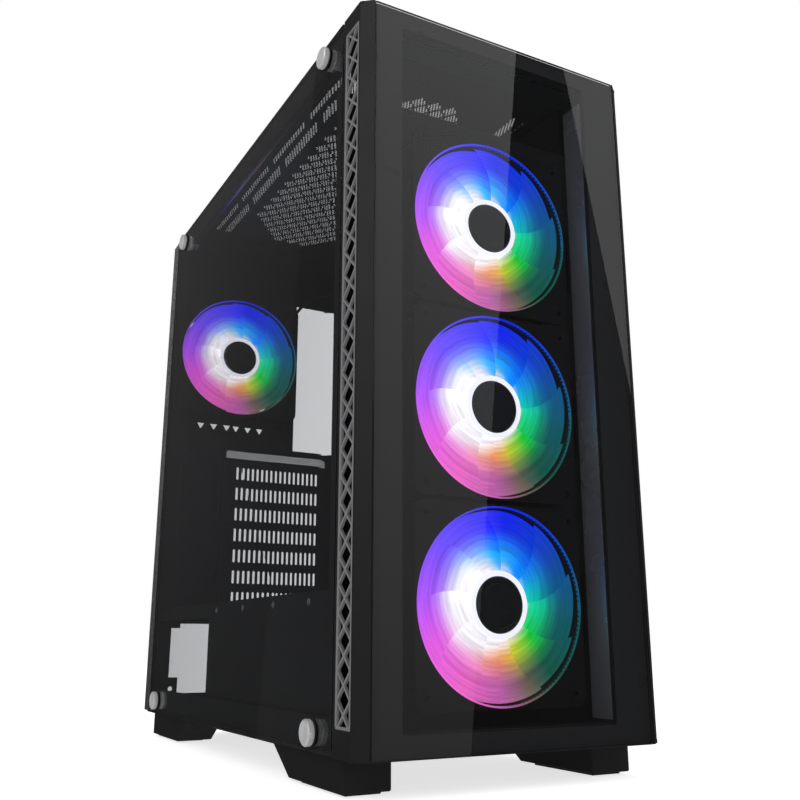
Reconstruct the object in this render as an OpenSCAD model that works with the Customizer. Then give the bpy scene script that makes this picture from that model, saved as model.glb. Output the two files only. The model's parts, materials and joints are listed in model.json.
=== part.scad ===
// Mid-tower computer case with a glass front, a glass left side and four lit fans.
// Body coordinates: u runs from the left side to the right, v from the front glass
// to the rear, z up from the ground. place() moves them to the part's own frame,
// whose origin is the centre of the bounding box's bottom face.

/* [Body] */
// Width over both side panels
body_w = 210; // [200:1:260]
// Depth from the front glass to the outside of the rear wall
body_d = 430; // [420:1:520]
// Height of the body without its feet
body_h = 456; // [450:1:560]
// Thickness of the folded steel sheet
steel_t = 1; // [0.8:0.1:1.2]
// Height of the feet under the floor
foot_h = 20; // [18:1:28]
// Length of a foot where it meets the floor
foot_len = 105; // [80:1:120]
// Width of a foot
foot_w = 30; // [24:1:36]

/* [Front] */
// Depth of the moulded fascia
fascia_d = 30; // [30:1:36]
// Wall of the moulded fascia
fascia_wall = 2.4; // [2:0.1:3]
// Thickness of both glass panes
glass_t = 4; // [3:0.5:5]
// Width of the bevel beside the front glass
bevel_w = 8; // [5:1:12]
// Number of crossings in each side vent
crossings = 28; // [18:1:34]
// Width of the bars of the side vents
vent_bar = 1.4; // [1:0.1:3]

/* [Fans] */
// Outside of a fan frame
fan_size = 120; // [92:1:124]
// Depth of a fan frame
fan_t = 25; // [20:1:26]
// Gap between the front fans
fan_gap = 3; // [1:0.5:8]
// Distance of a fan's corner holes from its edges
fan_hole_in = 7.5; // [7:0.1:8]
// Wall of a fan's duct
duct_wall = 2; // [1.5:0.1:3]
// Clearance between a rotor's blades and its duct
tip_gap = 1.2; // [0.8:0.1:2]
// Height of the lowest front fan above the floor
fan_low = 82; // [78:1:100]

/* [Rear] */
// Clear height of the power supply bay
psu_bay_h = 88; // [87:0.5:92]
// Depth of the screw ledge behind the rear wall
ledge_d = 12; // [11.5:0.5:14]
// Space behind the mainboard tray
tray_gap = 23; // [20:1:30]
// Distance of the side hooks from the panel's top and bottom edges
hook_in = 8; // [6:0.5:9]
// Distance the steel side slides back before it lifts off
hook_travel = 20; // [14:1:24]

/* [Panel screws] */
// Radius of a thumbscrew head
head_r = 7.4; // [6:0.1:9]
// Thickness of a thumbscrew head
head_t = 4; // [3:0.5:5]
// Radius of a thumbscrew's thread
thread_r = 2; // [1.5:0.1:2.4]
// Running clearance on the radius of a thread
thread_gap = 0.05; // [0.03:0.01:0.1]
// Distance of the glass screws from the glass's top and bottom edges
screw_edge = 11; // [10:0.5:13]

/* [Hidden] */

$fn = 48;
move_gap = 0.3;
collar_t = 1;
head_out = head_t + collar_t;
x0 = -(body_w - head_out) / 2;
y0 = -(body_d + ledge_d) / 2;
floor_z = foot_h;
floor_top = floor_z + steel_t;
top_z = foot_h + body_h;
roof_under = top_z - steel_t;
chassis_v = fascia_d + 1;
rear_in = body_d - steel_t;

// sizes that the mainboard, card and drive standards fix
slot_pitch = 20.32;
slot_count = 7;
io_len = 158.75;
io_wid = 44.45;
board_t = 1.6;
standoff_h = 6.5;
board_dv = [0, 154.94, 227.33];
board_dz = [0, 124.46, 281.94];
psu_w = 150;
psu_h = 86;
psu_screws = [[6, 16], [120, 6], [6, 80], [144, 80]];
screw_632_r = 2;
screw_m3_r = 1.25;
drive_h = 26;

// side planes
flange_u = glass_t + collar_t;
flange_in = flange_u + steel_t;
panel_in = body_w - steel_t;
right_flange = panel_in - 0.5 - steel_t;
tray_u = body_w - tray_gap - steel_t;
flange_up = 16;
flange_down = 18;
front_lip = 12;

// glass screws: four corners of the left pane
glass_v1 = chassis_v;
glass_v2 = body_d - 7;
screw_vs = [chassis_v + 27, glass_v2 - 24];
screw_zs = [floor_z + screw_edge, top_z - screw_edge];
bush_r = 5;
bush_len = 10;
bush_seat = 0.1;
glass_hole_r = 4;

// front
window_l = 20;
window_r = 27;
window_top = 15;
window_bottom = 12;
tape_t = 1;
ledge_v = glass_t + tape_t;
ledge_t = 2.4;
bevel_v = 6.5;
vent_v1 = 8;
vent_v2 = fascia_d - 2;
vent_z1 = floor_z + 15;
vent_z2 = top_z - 12;
lattice_t = 1.8;
reveal_t = 1.6;
reveal_v = 25;

// fans
fan_back = chassis_v + 13.5;
fan_front = fan_back - fan_t;
mid_u = body_w / 2;
fan_zs = [for (k = [2, 1, 0]) floor_z + fan_low + k * (fan_size + fan_gap)];
duct_r = fan_size / 2 - duct_wall;
rotor_r = duct_r - tip_gap;
fan_holes = fan_size - 2 * fan_hole_in;
hub_r = 20.5;
motor_r = 16;
shaft_r = 1.5;
fan_hole_r = 2.15;
rear_fan_u = flange_in + fan_size / 2 + 1;
rear_fan_z = top_z - fan_size / 2 - 59;
rear_fan_front = rear_in - fan_t;
fan_wall_top = top_z - 41;

// rear wall
shroud_z = floor_top + psu_bay_h;
shroud_u = flange_in + 2.5;
slot_low = shroud_z + steel_t + 11.1;
slot_zs = [for (k = [0 : slot_count - 1]) slot_low + (slot_count - 1 - k) * slot_pitch];
board_face = tray_u - standoff_h - board_t;
io_u1 = board_face + board_t - io_wid;
io_z0 = slot_zs[0] + 28.8;
slot_u1 = 62;
slot_u2 = tray_u - 13;
slot_plate_u = slot_u1 - 1.2;
ledge_over = 11;
cover_h = 18.6;
window_h = 14;
slit_count = 19;
slit_pitch = 4.9;
slit_w = 2.4;
slit_h = 12.4;
psu_u1 = 16;
psu_z0 = floor_top + 2;

// mainboard holes, from the lowest rear one
board_v = rear_in - 1 - 10.16;
board_z = slot_low + 5.9;
cable_v = board_v - board_dv[2] - 32;

// top sockets and buttons
io_strip_v = 17;
io_strip_w = 17;
io_strip_len = 156;
power_u = mid_u + 64;
reset_u = mid_u + 46;
usb3_u = mid_u + 26;
usb2_us = [mid_u + 5, mid_u - 14];
jack_us = [mid_u - 32, mid_u - 46];
power_r = 6.6;
reset_r = 2.8;
bezel_t = 1.6;

// filters
roof_vent_u = [24, tray_u - 4];
roof_vent_v = [chassis_v + 42, body_d - 46];
psu_vent_u = [44, 160];
psu_vent_v = [body_d - 150, body_d - 22];

// drives
cage_u = [30, tray_u - 1];
cage_v = [70, 182];
bay_h = 31;
cage_z = floor_top + 2;

black = [0.03, 0.03, 0.032];
dark = [0.06, 0.06, 0.065];

module place() {
  translate([x0, y0, 0]) children();
}

// box between two corners
module block(a, b) {
  translate(a) cube(b - a);
}

// sheets that stand across u, v and z, drawn as (v, z), (u, z) and (u, v)
module sheet_u(u, t) {
  translate([u, 0, 0]) rotate([90, 0, 90]) linear_extrude(t) children();
}

module sheet_v(v, t) {
  translate([0, v + t, 0]) rotate([90, 0, 0]) linear_extrude(t) children();
}

module sheet_z(z, t) {
  translate([0, 0, z]) linear_extrude(t) children();
}

module rect(a, b) {
  translate(a) square(b - a);
}

// rectangle between two corners with round corners of radius r
module round_rect(a, b, r) {
  rect([a[0] + r, a[1]], [b[0] - r, b[1]]);
  rect([a[0], a[1] + r], [b[0], b[1] - r]);
  for (x = [a[0] + r, b[0] - r], y = [a[1] + r, b[1] - r]) translate([x, y]) circle(r);
}

// slot between two corners, with round ends
module slot_hole(a, b) {
  round_rect(a, b, min(b - a) / 2 - 0.05);
}

// cylinders along u, v and z from a point
module rod_u(p, r, l) {
  translate(p) rotate([0, 90, 0]) cylinder(r = r, h = l);
}

module rod_v(p, r, l) {
  translate(p) rotate([-90, 0, 0]) cylinder(r = r, h = l);
}

module rod_z(p, r, l) {
  translate(p) cylinder(r = r, h = l);
}

floor_slots = 9;
floor_slot_w = 8;

module floor_pan() {
  color(black) place() {
    sheet_z(floor_z, steel_t) difference() {
      rect([flange_u, chassis_v], [right_flange + steel_t, rear_in]);
      step = (psu_vent_u[1] - psu_vent_u[0] - 2 * floor_slot_w) / (floor_slots - 1);
      for (k = [0 : floor_slots - 1]) {
        u = psu_vent_u[0] + floor_slot_w + k * step;
        slot_hole([u - floor_slot_w / 2, psu_vent_v[0]], [u + floor_slot_w / 2, psu_vent_v[1]]);
      }
    }
    difference() {
      sheet_u(flange_u, steel_t)
        rect([chassis_v, floor_top], [rear_in, floor_z + flange_up + 4]);
      bush_holes(screw_zs[0]);
    }
    difference() {
      sheet_u(right_flange, steel_t)
        rect([chassis_v, floor_top], [rear_in, floor_z + flange_up]);
      hook_slots(floor_z + hook_in);
    }
    sheet_v(chassis_v, steel_t) difference() {
      rect([flange_in, floor_top], [right_flange, floor_z + front_lip]);
      clip_holes(floor_z + clip_in);
    }
    for (s = [0, 1]) filter_rail(s);
  }
}

// L rails under the floor that hold the power supply filter
rail_drop = 5.2;
rail_t = 1;
rail_lip = 6;
filter_side = 7.5;
filter_front = 6;

module filter_rail(side) {
  wall = side == 0 ? psu_vent_u[0] - filter_side - 0.5 - rail_t : psu_vent_u[1] + filter_side + 0.5;
  lip = side == 0 ? wall : wall + rail_t - rail_lip;
  front = psu_vent_v[0] - filter_front;
  block([wall, front, floor_z - rail_drop], [wall + rail_t, rear_in, floor_z]);
  block([lip, front, floor_z - rail_drop], [lip + rail_lip, rear_in, floor_z - rail_drop + rail_t]);
}

// holes for the glass screws' bushes in the left flanges
module bush_holes(z) {
  for (v = screw_vs) rod_u([flange_u - 1, v, z], bush_r + bush_seat, steel_t + 2);
}

// slots in the right flanges for the steel panel's hooks
hook_vs = [for (k = [0 : 4]) chassis_v + 30 + k * (body_d - chassis_v - 90) / 4];
hook_len = 12;
hook_t = 1.2;
hook_half = 1.4;
hook_gap = 0.6;

module hook_slots(z) {
  for (v = hook_vs)
    block([right_flange - 1, v + hook_len / 2 - 1, z - hook_half - hook_gap],
          [right_flange + steel_t + 1, v + 1.5 * hook_len + hook_travel, z + hook_half + hook_gap]);
}

// snap posts of the fascia and their holes
clip_r = 2.5;
clip_in = 6;
clip_us = [16, body_w - 16];

module clip_holes(z) {
  for (u = clip_us) translate([u, z]) circle(clip_r + move_gap);
}

rear_lip = 6;
fan_vents = 6;
fan_vent_r = 4;
fan_vent_pitch = 12.4;

module rear_wall() {
  color(black) place() {
    sheet_v(rear_in, steel_t) difference() {
      rect([0, floor_z], [right_flange + steel_t, top_z - steel_t]);
      fan_grille_cut();
      rect([io_u1, io_z0], [io_u1 + io_wid, io_z0 + io_len]);
      for (z = slot_zs) rect([slot_plate_u, z - window_h / 2], [slot_u2, z + window_h / 2]);
      psu_cut();
      translate([rear_fan_u, rear_fan_z - fan_size / 2 - 2 * fan_vent_r])
        for (k = [0 : fan_vents - 1])
          translate([(k - (fan_vents - 1) / 2) * fan_vent_pitch, 0])
            rotate(-90) circle(r = fan_vent_r, $fn = 3);
      for (z = panel_screw_zs) translate([panel_screw_u, z]) circle(thread_r + thread_gap);
    }
    sheet_u(0, steel_t) rect([body_d - rear_lip, floor_z], [rear_in, top_z - steel_t]);
    difference() {
      block([slot_plate_u - steel_t, body_d, slot_zs[slot_count - 1] - ledge_over],
            [slot_plate_u, body_d + ledge_d - 1, slot_zs[0] + ledge_over]);
      for (z = slot_zs) rod_u([slot_plate_u - 3, body_d + ledge_d / 2, z], slot_thread_r + 0.05, 6);
    }
  }
}

guard_r = duct_r - 1;
guard_rings = 4;
guard_pitch = 10;
guard_wire = 1.8;
guard_bar = 3;
fan_screw_hole_r = 2.3;

// guard rings over the rear fan: the cut is what stays open
module fan_grille_cut() {
  translate([rear_fan_u, rear_fan_z]) {
    difference() {
      circle(r = guard_r);
      for (k = [0 : guard_rings - 1]) difference() {
        circle(r = guard_r - 1 - k * guard_pitch);
        circle(r = guard_r - 1 - guard_wire - k * guard_pitch);
      }
      circle(r = hub_r);
      for (a = [45, 135]) rotate(a) square([fan_size, guard_bar], center = true);
    }
    fan_holes_cut(fan_screw_hole_r);
  }
}

// the four corner holes of a fan
module fan_holes_cut(r) {
  for (x = [-1, 1], y = [-1, 1]) translate([x, y] * fan_holes / 2) circle(r = r);
}

module psu_cut() {
  translate([psu_u1, psu_z0]) {
    rect([12, 12], [psu_w - 12, psu_h - 12]);
    rect([4, 26], [psu_w - 4, psu_h - 16]);
    for (p = psu_screws) translate(p) circle(r = screw_632_r);
  }
}

module roof_panel() {
  color(black) place() {
    sheet_z(roof_under, steel_t) difference() {
      rect([flange_u, chassis_v], [right_flange + steel_t, body_d]);
      roof_vents();
    }
    difference() {
      sheet_u(flange_u, steel_t) rect([chassis_v, top_z - flange_down], [rear_in, roof_under]);
      bush_holes(screw_zs[1]);
    }
    difference() {
      sheet_u(right_flange, steel_t) rect([chassis_v, top_z - flange_up], [rear_in, roof_under]);
      hook_slots(top_z - hook_in);
    }
    sheet_v(chassis_v, steel_t) difference() {
      rect([flange_in, top_z - front_lip], [right_flange, roof_under]);
      clip_holes(top_z - clip_in);
    }
  }
}

vent_slot = 6;
vent_rows = 4;
vent_row_pitch = 11;
vent_field_in = 24;
vent_cross_slots = 13;

// long slots beside a field of cross slots
module roof_vents() {
  long = roof_vent_v[1] - roof_vent_v[0];
  len = (long - (vent_rows - 1) * vent_slot) / vent_rows;
  for (u = [roof_vent_u[0], roof_vent_u[0] + vent_row_pitch,
            roof_vent_u[1] - vent_slot - vent_row_pitch, roof_vent_u[1] - vent_slot], k = [0 : vent_rows - 1]) {
    v = roof_vent_v[0] + k * (len + vent_slot);
    slot_hole([u, v], [u + vent_slot, v + len]);
  }
  for (k = [0 : vent_cross_slots - 1]) {
    v = roof_vent_v[0] + 4 + k * (long - 14) / (vent_cross_slots - 1);
    slot_hole([roof_vent_u[0] + vent_field_in, v], [roof_vent_u[1] - vent_field_in, v + vent_slot]);
  }
}

module motherboard_tray() {
  color(black) place() {
    sheet_u(tray_u, steel_t) difference() {
      rect([fan_back + steel_t, floor_top], [rear_in, roof_under - steel_t]);
      round_rect([body_d - 185, board_z + 150], [body_d - 40, board_z + 262], 10);
      for (z = fan_zs) round_rect([cable_v - 12, z + 14], [cable_v + 12, z + 78], 10);
      for (v = [body_d - 80, body_d - 170]) round_rect([v, roof_under - 34], [v + 50, roof_under - 12], 6);
      round_rect([cage_v[0] + 4, cage_z + 2], [cage_v[1] - 4, cage_z + 2 * bay_h + 4], 4);
      round_rect([body_d - 150, floor_top + 12], [body_d - 40, shroud_z - 12], 8);
    }
  }
}

standoff_r = 2.9;

module board_standoffs() {
  color("goldenrod") place()
    for (dv = board_dv, dz = board_dz) difference() {
      rod_u([tray_u - standoff_h, board_v - dv, board_z + dz], standoff_r, standoff_h);
      rod_u([tray_u - standoff_h - 0.5, board_v - dv, board_z + dz], screw_m3_r, standoff_h - 0.5);
    }
}

module front_fan_wall() {
  color(black) place() {
    sheet_v(fan_back, steel_t) difference() {
      rect([flange_in, floor_top], [right_flange, fan_wall_top]);
      for (z = fan_zs) translate([mid_u, z]) {
        circle(r = duct_r - 0.6);
        fan_holes_cut(fan_screw_hole_r);
      }
      for (z = fan_zs) slot_hole([lead_u - lead_slot[0] / 2, z - lead_slot[1] / 2],
                                 [lead_u + lead_slot[0] / 2, z + lead_slot[1] / 2]);
    }
    for (u = [flange_in, right_flange - steel_t])
      sheet_u(u, steel_t) rect([chassis_v + steel_t, floor_top], [fan_back, fan_wall_top]);
  }
}

shroud_fold = 10;
shroud_holes_v = [230, 330];
shroud_slots = 8;

module psu_shroud() {
  color(dark) place() {
    sheet_z(shroud_z, steel_t) difference() {
      rect([shroud_u, fan_back + steel_t], [tray_u, rear_in]);
      for (v = shroud_holes_v) round_rect([tray_u - 34, v], [tray_u - 12, v + 56], 8);
      for (k = [0 : shroud_slots - 1])
        slot_hole([40, 84 + 14 * k], [110, 90 + 14 * k]);
    }
    sheet_u(shroud_u, steel_t) difference() {
      union() {
        rect([fan_back + steel_t, shroud_z - shroud_fold], [rear_in, shroud_z]);
        rect([fan_back + steel_t, floor_top], [body_d - 152, shroud_z - shroud_fold + 1]);
      }
      translate([screw_vs[0], screw_zs[0]]) circle(r = bush_r + 1.5);
    }
  }
}

bracket_t = 1.2;
rivet_r = 2.2;
rivet_t = 0.9;

module glass_standoffs() {
  color("silver") place()
    for (v = screw_vs, z = screw_zs) difference() {
      union() {
        rod_u([flange_u, v, z], bush_r, bush_len);
        block([flange_in, v - 12, z - 5], [flange_in + bracket_t, v + 8, z + 5]);
      }
      rod_u([flange_u - 1, v, z], thread_r + thread_gap, bush_len + 2);
    }
}

// heads of blind rivets: brackets, corners of the rear wall and the shroud
module chassis_rivets() {
  color("silver") place() {
    for (v = screw_vs, z = screw_zs) rod_u([flange_in + bracket_t, v - 9, z], rivet_r, rivet_t);
    for (u = [20, 60, 150, tray_u]) rod_v([u, body_d, top_z - 7], rivet_r, rivet_t);
    for (z = [40, 130, 330, 400]) rod_v([tray_u + 3, body_d, z + floor_z], rivet_r, rivet_t);
    for (v = [80, 140, 200, 260]) rod_u([shroud_u - rivet_t, v, shroud_z - 5], rivet_r, rivet_t);
  }
}

module psu_pads() {
  color(dark) place()
    for (u = [psu_u1 + 12, psu_u1 + psu_w - 12], v = [rear_in - 24, rear_in - 126])
      block([u - 4, v - 14, floor_top], [u + 4, v + 14, psu_z0]);
}

pad_t = 1.5;
foot_inset = 27;
foot_slope = 29;
foot_us = [flange_u, body_w - flange_u - foot_w];
foot_rear = body_d - 6;
pad_in = 5;
pad_len = 60;

// one foot, pointing back from its vertical end face
module foot_profile() {
  polygon([[0, pad_t], [0, floor_z], [foot_len, floor_z], [foot_len - foot_slope, pad_t]]);
}

module feet() {
  color(dark) place()
    for (u = foot_us) {
      sheet_u(u, foot_w) translate([foot_inset, 0]) foot_profile();
      sheet_u(u, foot_w) translate([foot_rear, 0]) mirror([1, 0]) foot_profile();
    }
}

module foot_pads() {
  color([0.02, 0.02, 0.02]) place()
    for (u = foot_us, v = [foot_inset + pad_in, foot_rear - pad_in - pad_len])
      block([u + 4, v, 0], [u + foot_w - 4, v + pad_len, pad_t]);
}

tab_half = 6.8;
tab_hole_r = 2.2;
slot_thread_r = 1.55;

// one vented cover; its tab passes out over the screw ledge
module slot_cover(k) {
  z = slot_zs[k];
  mid = (slot_u1 + slot_u2) / 2;
  color(dark) place() {
    sheet_v(rear_in - steel_t, steel_t) difference() {
      rect([slot_plate_u, z - cover_h / 2], [slot_u2 + 6, z + cover_h / 2]);
      for (s = [0 : slit_count - 1]) {
        u = mid + (s - (slit_count - 1) / 2) * slit_pitch;
        slot_hole([u - slit_w / 2, z - slit_h / 2], [u + slit_w / 2, z + slit_h / 2]);
      }
    }
    difference() {
      block([slot_plate_u, rear_in, z - tab_half], [slot_plate_u + 1, body_d + ledge_d - 1, z + tab_half]);
      rod_u([slot_plate_u - 1, body_d + ledge_d / 2, z], tab_hole_r, 3);
    }
  }
}

module slot_screws() {
  color("silver") place()
    for (z = slot_zs) {
      rod_u([slot_plate_u + 1, body_d + ledge_d / 2, z], 3.4, 2);
      rod_u([slot_plate_u - 3.8, body_d + ledge_d / 2, z], slot_thread_r, 5);
    }
}

// folded cover over the screw ledge
module slot_shield() {
  shield_u = slot_plate_u - 9.8;
  top = slot_zs[0] + ledge_over + 2;
  low = slot_zs[slot_count - 1] - ledge_over - 2;
  color(black) place() {
    block([shield_u - 11, body_d, low], [shield_u + steel_t, body_d + steel_t, top]);
    block([shield_u, body_d, low], [shield_u + steel_t, body_d + ledge_d, top]);
    block([shield_u, body_d + ledge_d - steel_t, low], [slot_u1 + 8, body_d + ledge_d, top]);
  }
}

module drive_cage() {
  top = cage_z + 2 * bay_h + 6;
  color("silver") place() {
    for (v = [cage_v[0], cage_v[1] - steel_t])
      sheet_v(v, steel_t) difference() {
        rect([cage_u[0], floor_top], [cage_u[1], top]);
        for (k = [0, 1]) slot_hole([cage_u[0] + 20, cage_z + 8 + k * bay_h],
                                   [cage_u[1] - 20, cage_z + 18 + k * bay_h]);
      }
    sheet_z(top, steel_t) rect([cage_u[0], cage_v[0]], [cage_u[1], cage_v[1]]);
    for (v = [cage_v[0] + steel_t, cage_v[1] - steel_t - 4], k = [0, 1])
      block([cage_u[0], v, cage_z + k * bay_h], [cage_u[1], v + 4, cage_z + k * bay_h + 1]);
  }
}

// tray for one 3.5 inch drive
module drive_caddy(k) {
  z = cage_z + k * bay_h + 1;
  v1 = cage_v[0] + steel_t + 0.5;
  v2 = cage_v[1] - steel_t - 0.5;
  u2 = cage_u[1] - 2;
  color(dark) place() {
    difference() {
      block([cage_u[0] + 2, v1, z], [u2, v2, z + 2]);
      block([cage_u[0] + 22, v1 + 16, z - 1], [u2 - 24, v2 - 16, z + 3]);
    }
    for (v = [v1, v2 - 2]) block([cage_u[0] + 2, v, z], [u2, v + 2, z + 14]);
    difference() {
      block([u2 - 3, v1, z], [u2, v2, z + drive_h]);
      block([u2 - 4, v1 + 30, z + 7], [u2 + 1, v2 - 30, z + 19]);
    }
  }
}

// plates behind the tray for 2.5 inch drives
module ssd_brackets() {
  color(dark) place()
    for (z = [shroud_z + 8, shroud_z + 90])
      difference() {
        union() {
          sheet_u(tray_u + steel_t + 3, 1.2) round_rect([body_d - 150, z], [body_d - 52, z + 76], 3);
          for (v = [body_d - 146, body_d - 56], dz = [8, 68])
            rod_u([tray_u + steel_t, v, z + dz], 3, 3.6);
        }
        for (v = [-38.3, 38.3], dz = [-30.86, 30.86])
          rod_u([tray_u, body_d - 101 + v, z + 38 + dz], 1.6, 9);
      }
}

// square fan frame: duct, two flanges, motor cup and struts; u, z of its centre
module fan_frame(u, z, front) {
  half = fan_size / 2;
  color(black) place() translate([u, front, z]) {
    for (v = [0, fan_t - 3.5])
      sheet_v(v, 3.5) difference() {
        round_rect([-half, -half], [half, half], 7);
        circle(r = duct_r);
        for (x = [-1, 1], y = [-1, 1]) translate([x, y] * fan_holes / 2) circle(r = fan_hole_r);
      }
    sheet_v(3, fan_t - 6) difference() {
      circle(r = half - 0.4);
      circle(r = duct_r);
    }
    rod_v([0, fan_t - 3, 0], 19, 3);
    for (a = [20, 110, 200, 290])
      rotate([0, a, 0]) block([18, fan_t - 3.4, -1.8], [duct_r + 0.5, fan_t - 0.4, 1.8]);
  }
}

blade_count = 9;

// cup hub, shaft and tilted flat blades
module fan_rotor(u, z, front) {
  color("white") place() translate([u, front, z]) {
    difference() {
      rod_v([0, 2, 0], hub_r, fan_t - 8);
      rod_v([0, 4, 0], hub_r - 2, fan_t);
    }
    rod_v([0, 2.5, 0], shaft_r, fan_t - 8.5);
    difference() {
      for (k = [0 : blade_count - 1])
        rotate([0, k * 360 / blade_count, 0])
          translate([hub_r - 2, 2 + (fan_t - 8) / 2, 0]) rotate([38, 0, 0])
            translate([0, -0.8, -12.2]) cube([rotor_r, 1.6, 24.4]);
      rod_v([0, -9, 0], hub_r - 0.5, fan_t + 9);
      difference() {
        rod_v([0, -10, 0], rotor_r + 30, fan_t + 20);
        rod_v([0, -11, 0], rotor_r, fan_t + 22);
      }
      block([-80, -20, -80], [80, 2, 80]);
      block([-80, fan_t - 6, -80], [80, fan_t + 20, 80]);
    }
  }
}

// stator and bearing tube in each motor cup
module fan_motors() {
  color("dimgray") place()
    for (p = [for (z = fan_zs) [mid_u, fan_front, z], [rear_fan_u, rear_fan_front, rear_fan_z]])
      translate(p) difference() {
        union() {
          rod_v([0, 7, 0], motor_r, 11);
          rod_v([0, 5.5, 0], 4, fan_t - 8.5);
        }
        rod_v([0, 4, 0], shaft_r + 0.05, fan_t - 9);
      }
}

module fan_screws() {
  color("dimgray") place()
    for (x = [-1, 1], y = [-1, 1]) {
      for (z = fan_zs) {
        p = [mid_u + x * fan_holes / 2, fan_back + steel_t, z + y * fan_holes / 2];
        rod_v(p, 3.6, 1.8);
        rod_v(p - [0, 9 + steel_t, 0], 2.1, 9 + steel_t);
      }
      q = [rear_fan_u + x * fan_holes / 2, body_d, rear_fan_z + y * fan_holes / 2];
      rod_v(q, 3.6, 1.8);
      rod_v(q - [0, 9 + steel_t, 0], 2.1, 9 + steel_t);
    }
}

hub_v = 140;
hub_z = fan_zs[1] + 79;
hub_len = 58;
hub_t = 8;
socket_pitch = 11;

// splitter board for the fans behind the tray
module fan_hub() {
  color(dark) place() {
    block([tray_u + steel_t, hub_v, hub_z], [tray_u + steel_t + hub_t, hub_v + 52, hub_z + hub_len]);
    for (k = [0 : 4])
      block([tray_u + steel_t + hub_t, hub_v + 4, hub_z + 5 + socket_pitch * k],
            [tray_u + steel_t + hub_t + 5, hub_v + 16, hub_z + 13 + socket_pitch * k]);
  }
}

// leads from the fans through the tray to the splitter board
lead_r = 1.8;
lead_u = mid_u + 78;
lead_slot = [12, 48];
lead_in = tray_u + steel_t + hub_t + 2.5;
lead_gap = 4.5;

function socket_z(k) = hub_z + 9 + socket_pitch * k;

// last stretch behind the tray to socket k, from a height
function lead_riser(k, z) = let (v = hub_v + 22 + lead_gap * k, socket = socket_z(k)) [
    [lead_in, v, (z + socket) / 2],
    [lead_in, v, socket + (z > socket ? 6 : -6)],
    [lead_in, v - 4, socket],
    [lead_in, hub_v + 16, socket]
  ];

function front_lead(k) = let (z = fan_zs[2 - k]) concat([
    [mid_u + 44.5, fan_front + 12, z + 40.5],
    [mid_u + 56, fan_front + 12, z + 46],
    [mid_u + 68, fan_front + 14, z + 40],
    [mid_u + 76, fan_back - 6, z + 28],
    [lead_u, fan_back, z + 20],
    [lead_u, fan_back + 12, z + 17],
    [lead_u, 100, z + 20],
    [tray_u - 8, 134, z + 25],
    [tray_u - 4, cable_v - 6, z + 28],
    [tray_u + 6, cable_v + 2 + lead_gap * k, z + 31]
  ], lead_riser(k, z + 34));

rear_lead = let (z = roof_under - 23) concat([
    [rear_fan_u + 44.5, rear_in - 13, rear_fan_z + 40.5],
    [rear_fan_u + 56, rear_in - 12, rear_fan_z + 52],
    [rear_fan_u + 72, rear_in - 12, rear_fan_z + 74],
    [tray_u - 24, rear_in - 18, z - 8],
    [tray_u - 6, rear_in - 38, z - 2],
    [tray_u + 5, rear_in - 52, z],
    [lead_in - 2, rear_in - 72, z - 4],
    [lead_in + lead_gap, 280, z - 26],
    [lead_in + lead_gap, 220, z - 52],
    [lead_in + lead_gap, 186, z - 70]
  ], [
    [lead_in + lead_gap, hub_v + 22, socket_z(3) + 18],
    [lead_in, hub_v + 22, socket_z(3) + 6],
    [lead_in, hub_v + 18, socket_z(3)],
    [lead_in, hub_v + 16, socket_z(3)]
  ]);

// tube of eight sides along points, its ends closed
function ring(p, d, r) = let (
    n = d / norm(d),
    s = [0.6, -0.3, 0.75],
    a = cross(n, s) / norm(cross(n, s)),
    b = cross(n, a)
  ) [for (i = [0 : 7]) p + r * (cos(45 * i) * a + sin(45 * i) * b)];

module tube(pts, r) {
  last = len(pts) - 1;
  rings = [for (i = [0 : last]) each ring(pts[i], pts[min(i + 1, last)] - pts[max(i - 1, 0)], r)];
  sides = [for (i = [0 : last - 1], j = [0 : 7])
    [(i + 1) * 8 + j, (i + 1) * 8 + (j + 1) % 8, i * 8 + (j + 1) % 8, i * 8 + j]];
  ends = [[for (j = [0 : 7]) j], [for (j = [7 : -1 : 0]) last * 8 + j]];
  polyhedron(points = rings, faces = concat(sides, ends), convexity = 4);
}

module fan_leads() {
  color(black) place() {
    for (k = [0 : 2]) tube(front_lead(k), lead_r);
    tube(rear_lead, lead_r);
  }
}

// moulded frame: bevelled side walls, top and bottom walls and the ledge behind the glass
module front_fascia() {
  color(black) place() difference() {
    union() {
      for (s = [0, 1]) translate([s * body_w, 0, 0]) mirror([s, 0, 0])
        sheet_z(floor_z, body_h) polygon([
          [0, bevel_v], [bevel_w - 0.2, 0], [bevel_w - 0.2, ledge_v], [bevel_w, ledge_v],
          [bevel_w, ledge_v + ledge_t], [fascia_wall, ledge_v + ledge_t],
          [fascia_wall, fascia_d], [0, fascia_d]
        ]);
      sheet_v(ledge_v, ledge_t) difference() {
        rect([bevel_w - 1, floor_z], [body_w - bevel_w + 1, top_z]);
        rect([bevel_w + window_l + 1, floor_z + window_bottom + 1],
             [body_w - bevel_w - window_r - 1, top_z - window_top - 1]);
      }
      for (z = [floor_z, top_z - fascia_wall])
        sheet_z(z, fascia_wall) rect([1, ledge_v], [body_w - 1, fascia_d]);
      for (u = [bevel_w + window_l - 1, body_w - bevel_w - window_r - 1])
        block([u, ledge_v, floor_z + window_bottom + 1], [u + reveal_t, reveal_v, io_board_z - 1]);
    }
    for (u = [-1, body_w - fascia_wall - 1])
      block([u, vent_v1, vent_z1], [u + fascia_wall + 2, vent_v2, vent_z2]);
    sheet_z(top_z - fascia_wall - 1, fascia_wall + 2)
      round_rect([mid_u - io_strip_len / 2 + 10, io_strip_v - 7.2],
                 [mid_u + io_strip_len / 2 - 3, io_strip_v + 7.2], 3);
    sheet_z(top_z - 0.8, 2) round_rect([mid_u - io_strip_len / 2, io_strip_v - io_strip_w / 2],
                                       [mid_u + io_strip_len / 2, io_strip_v + io_strip_w / 2], 3);
  }
}

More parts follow.
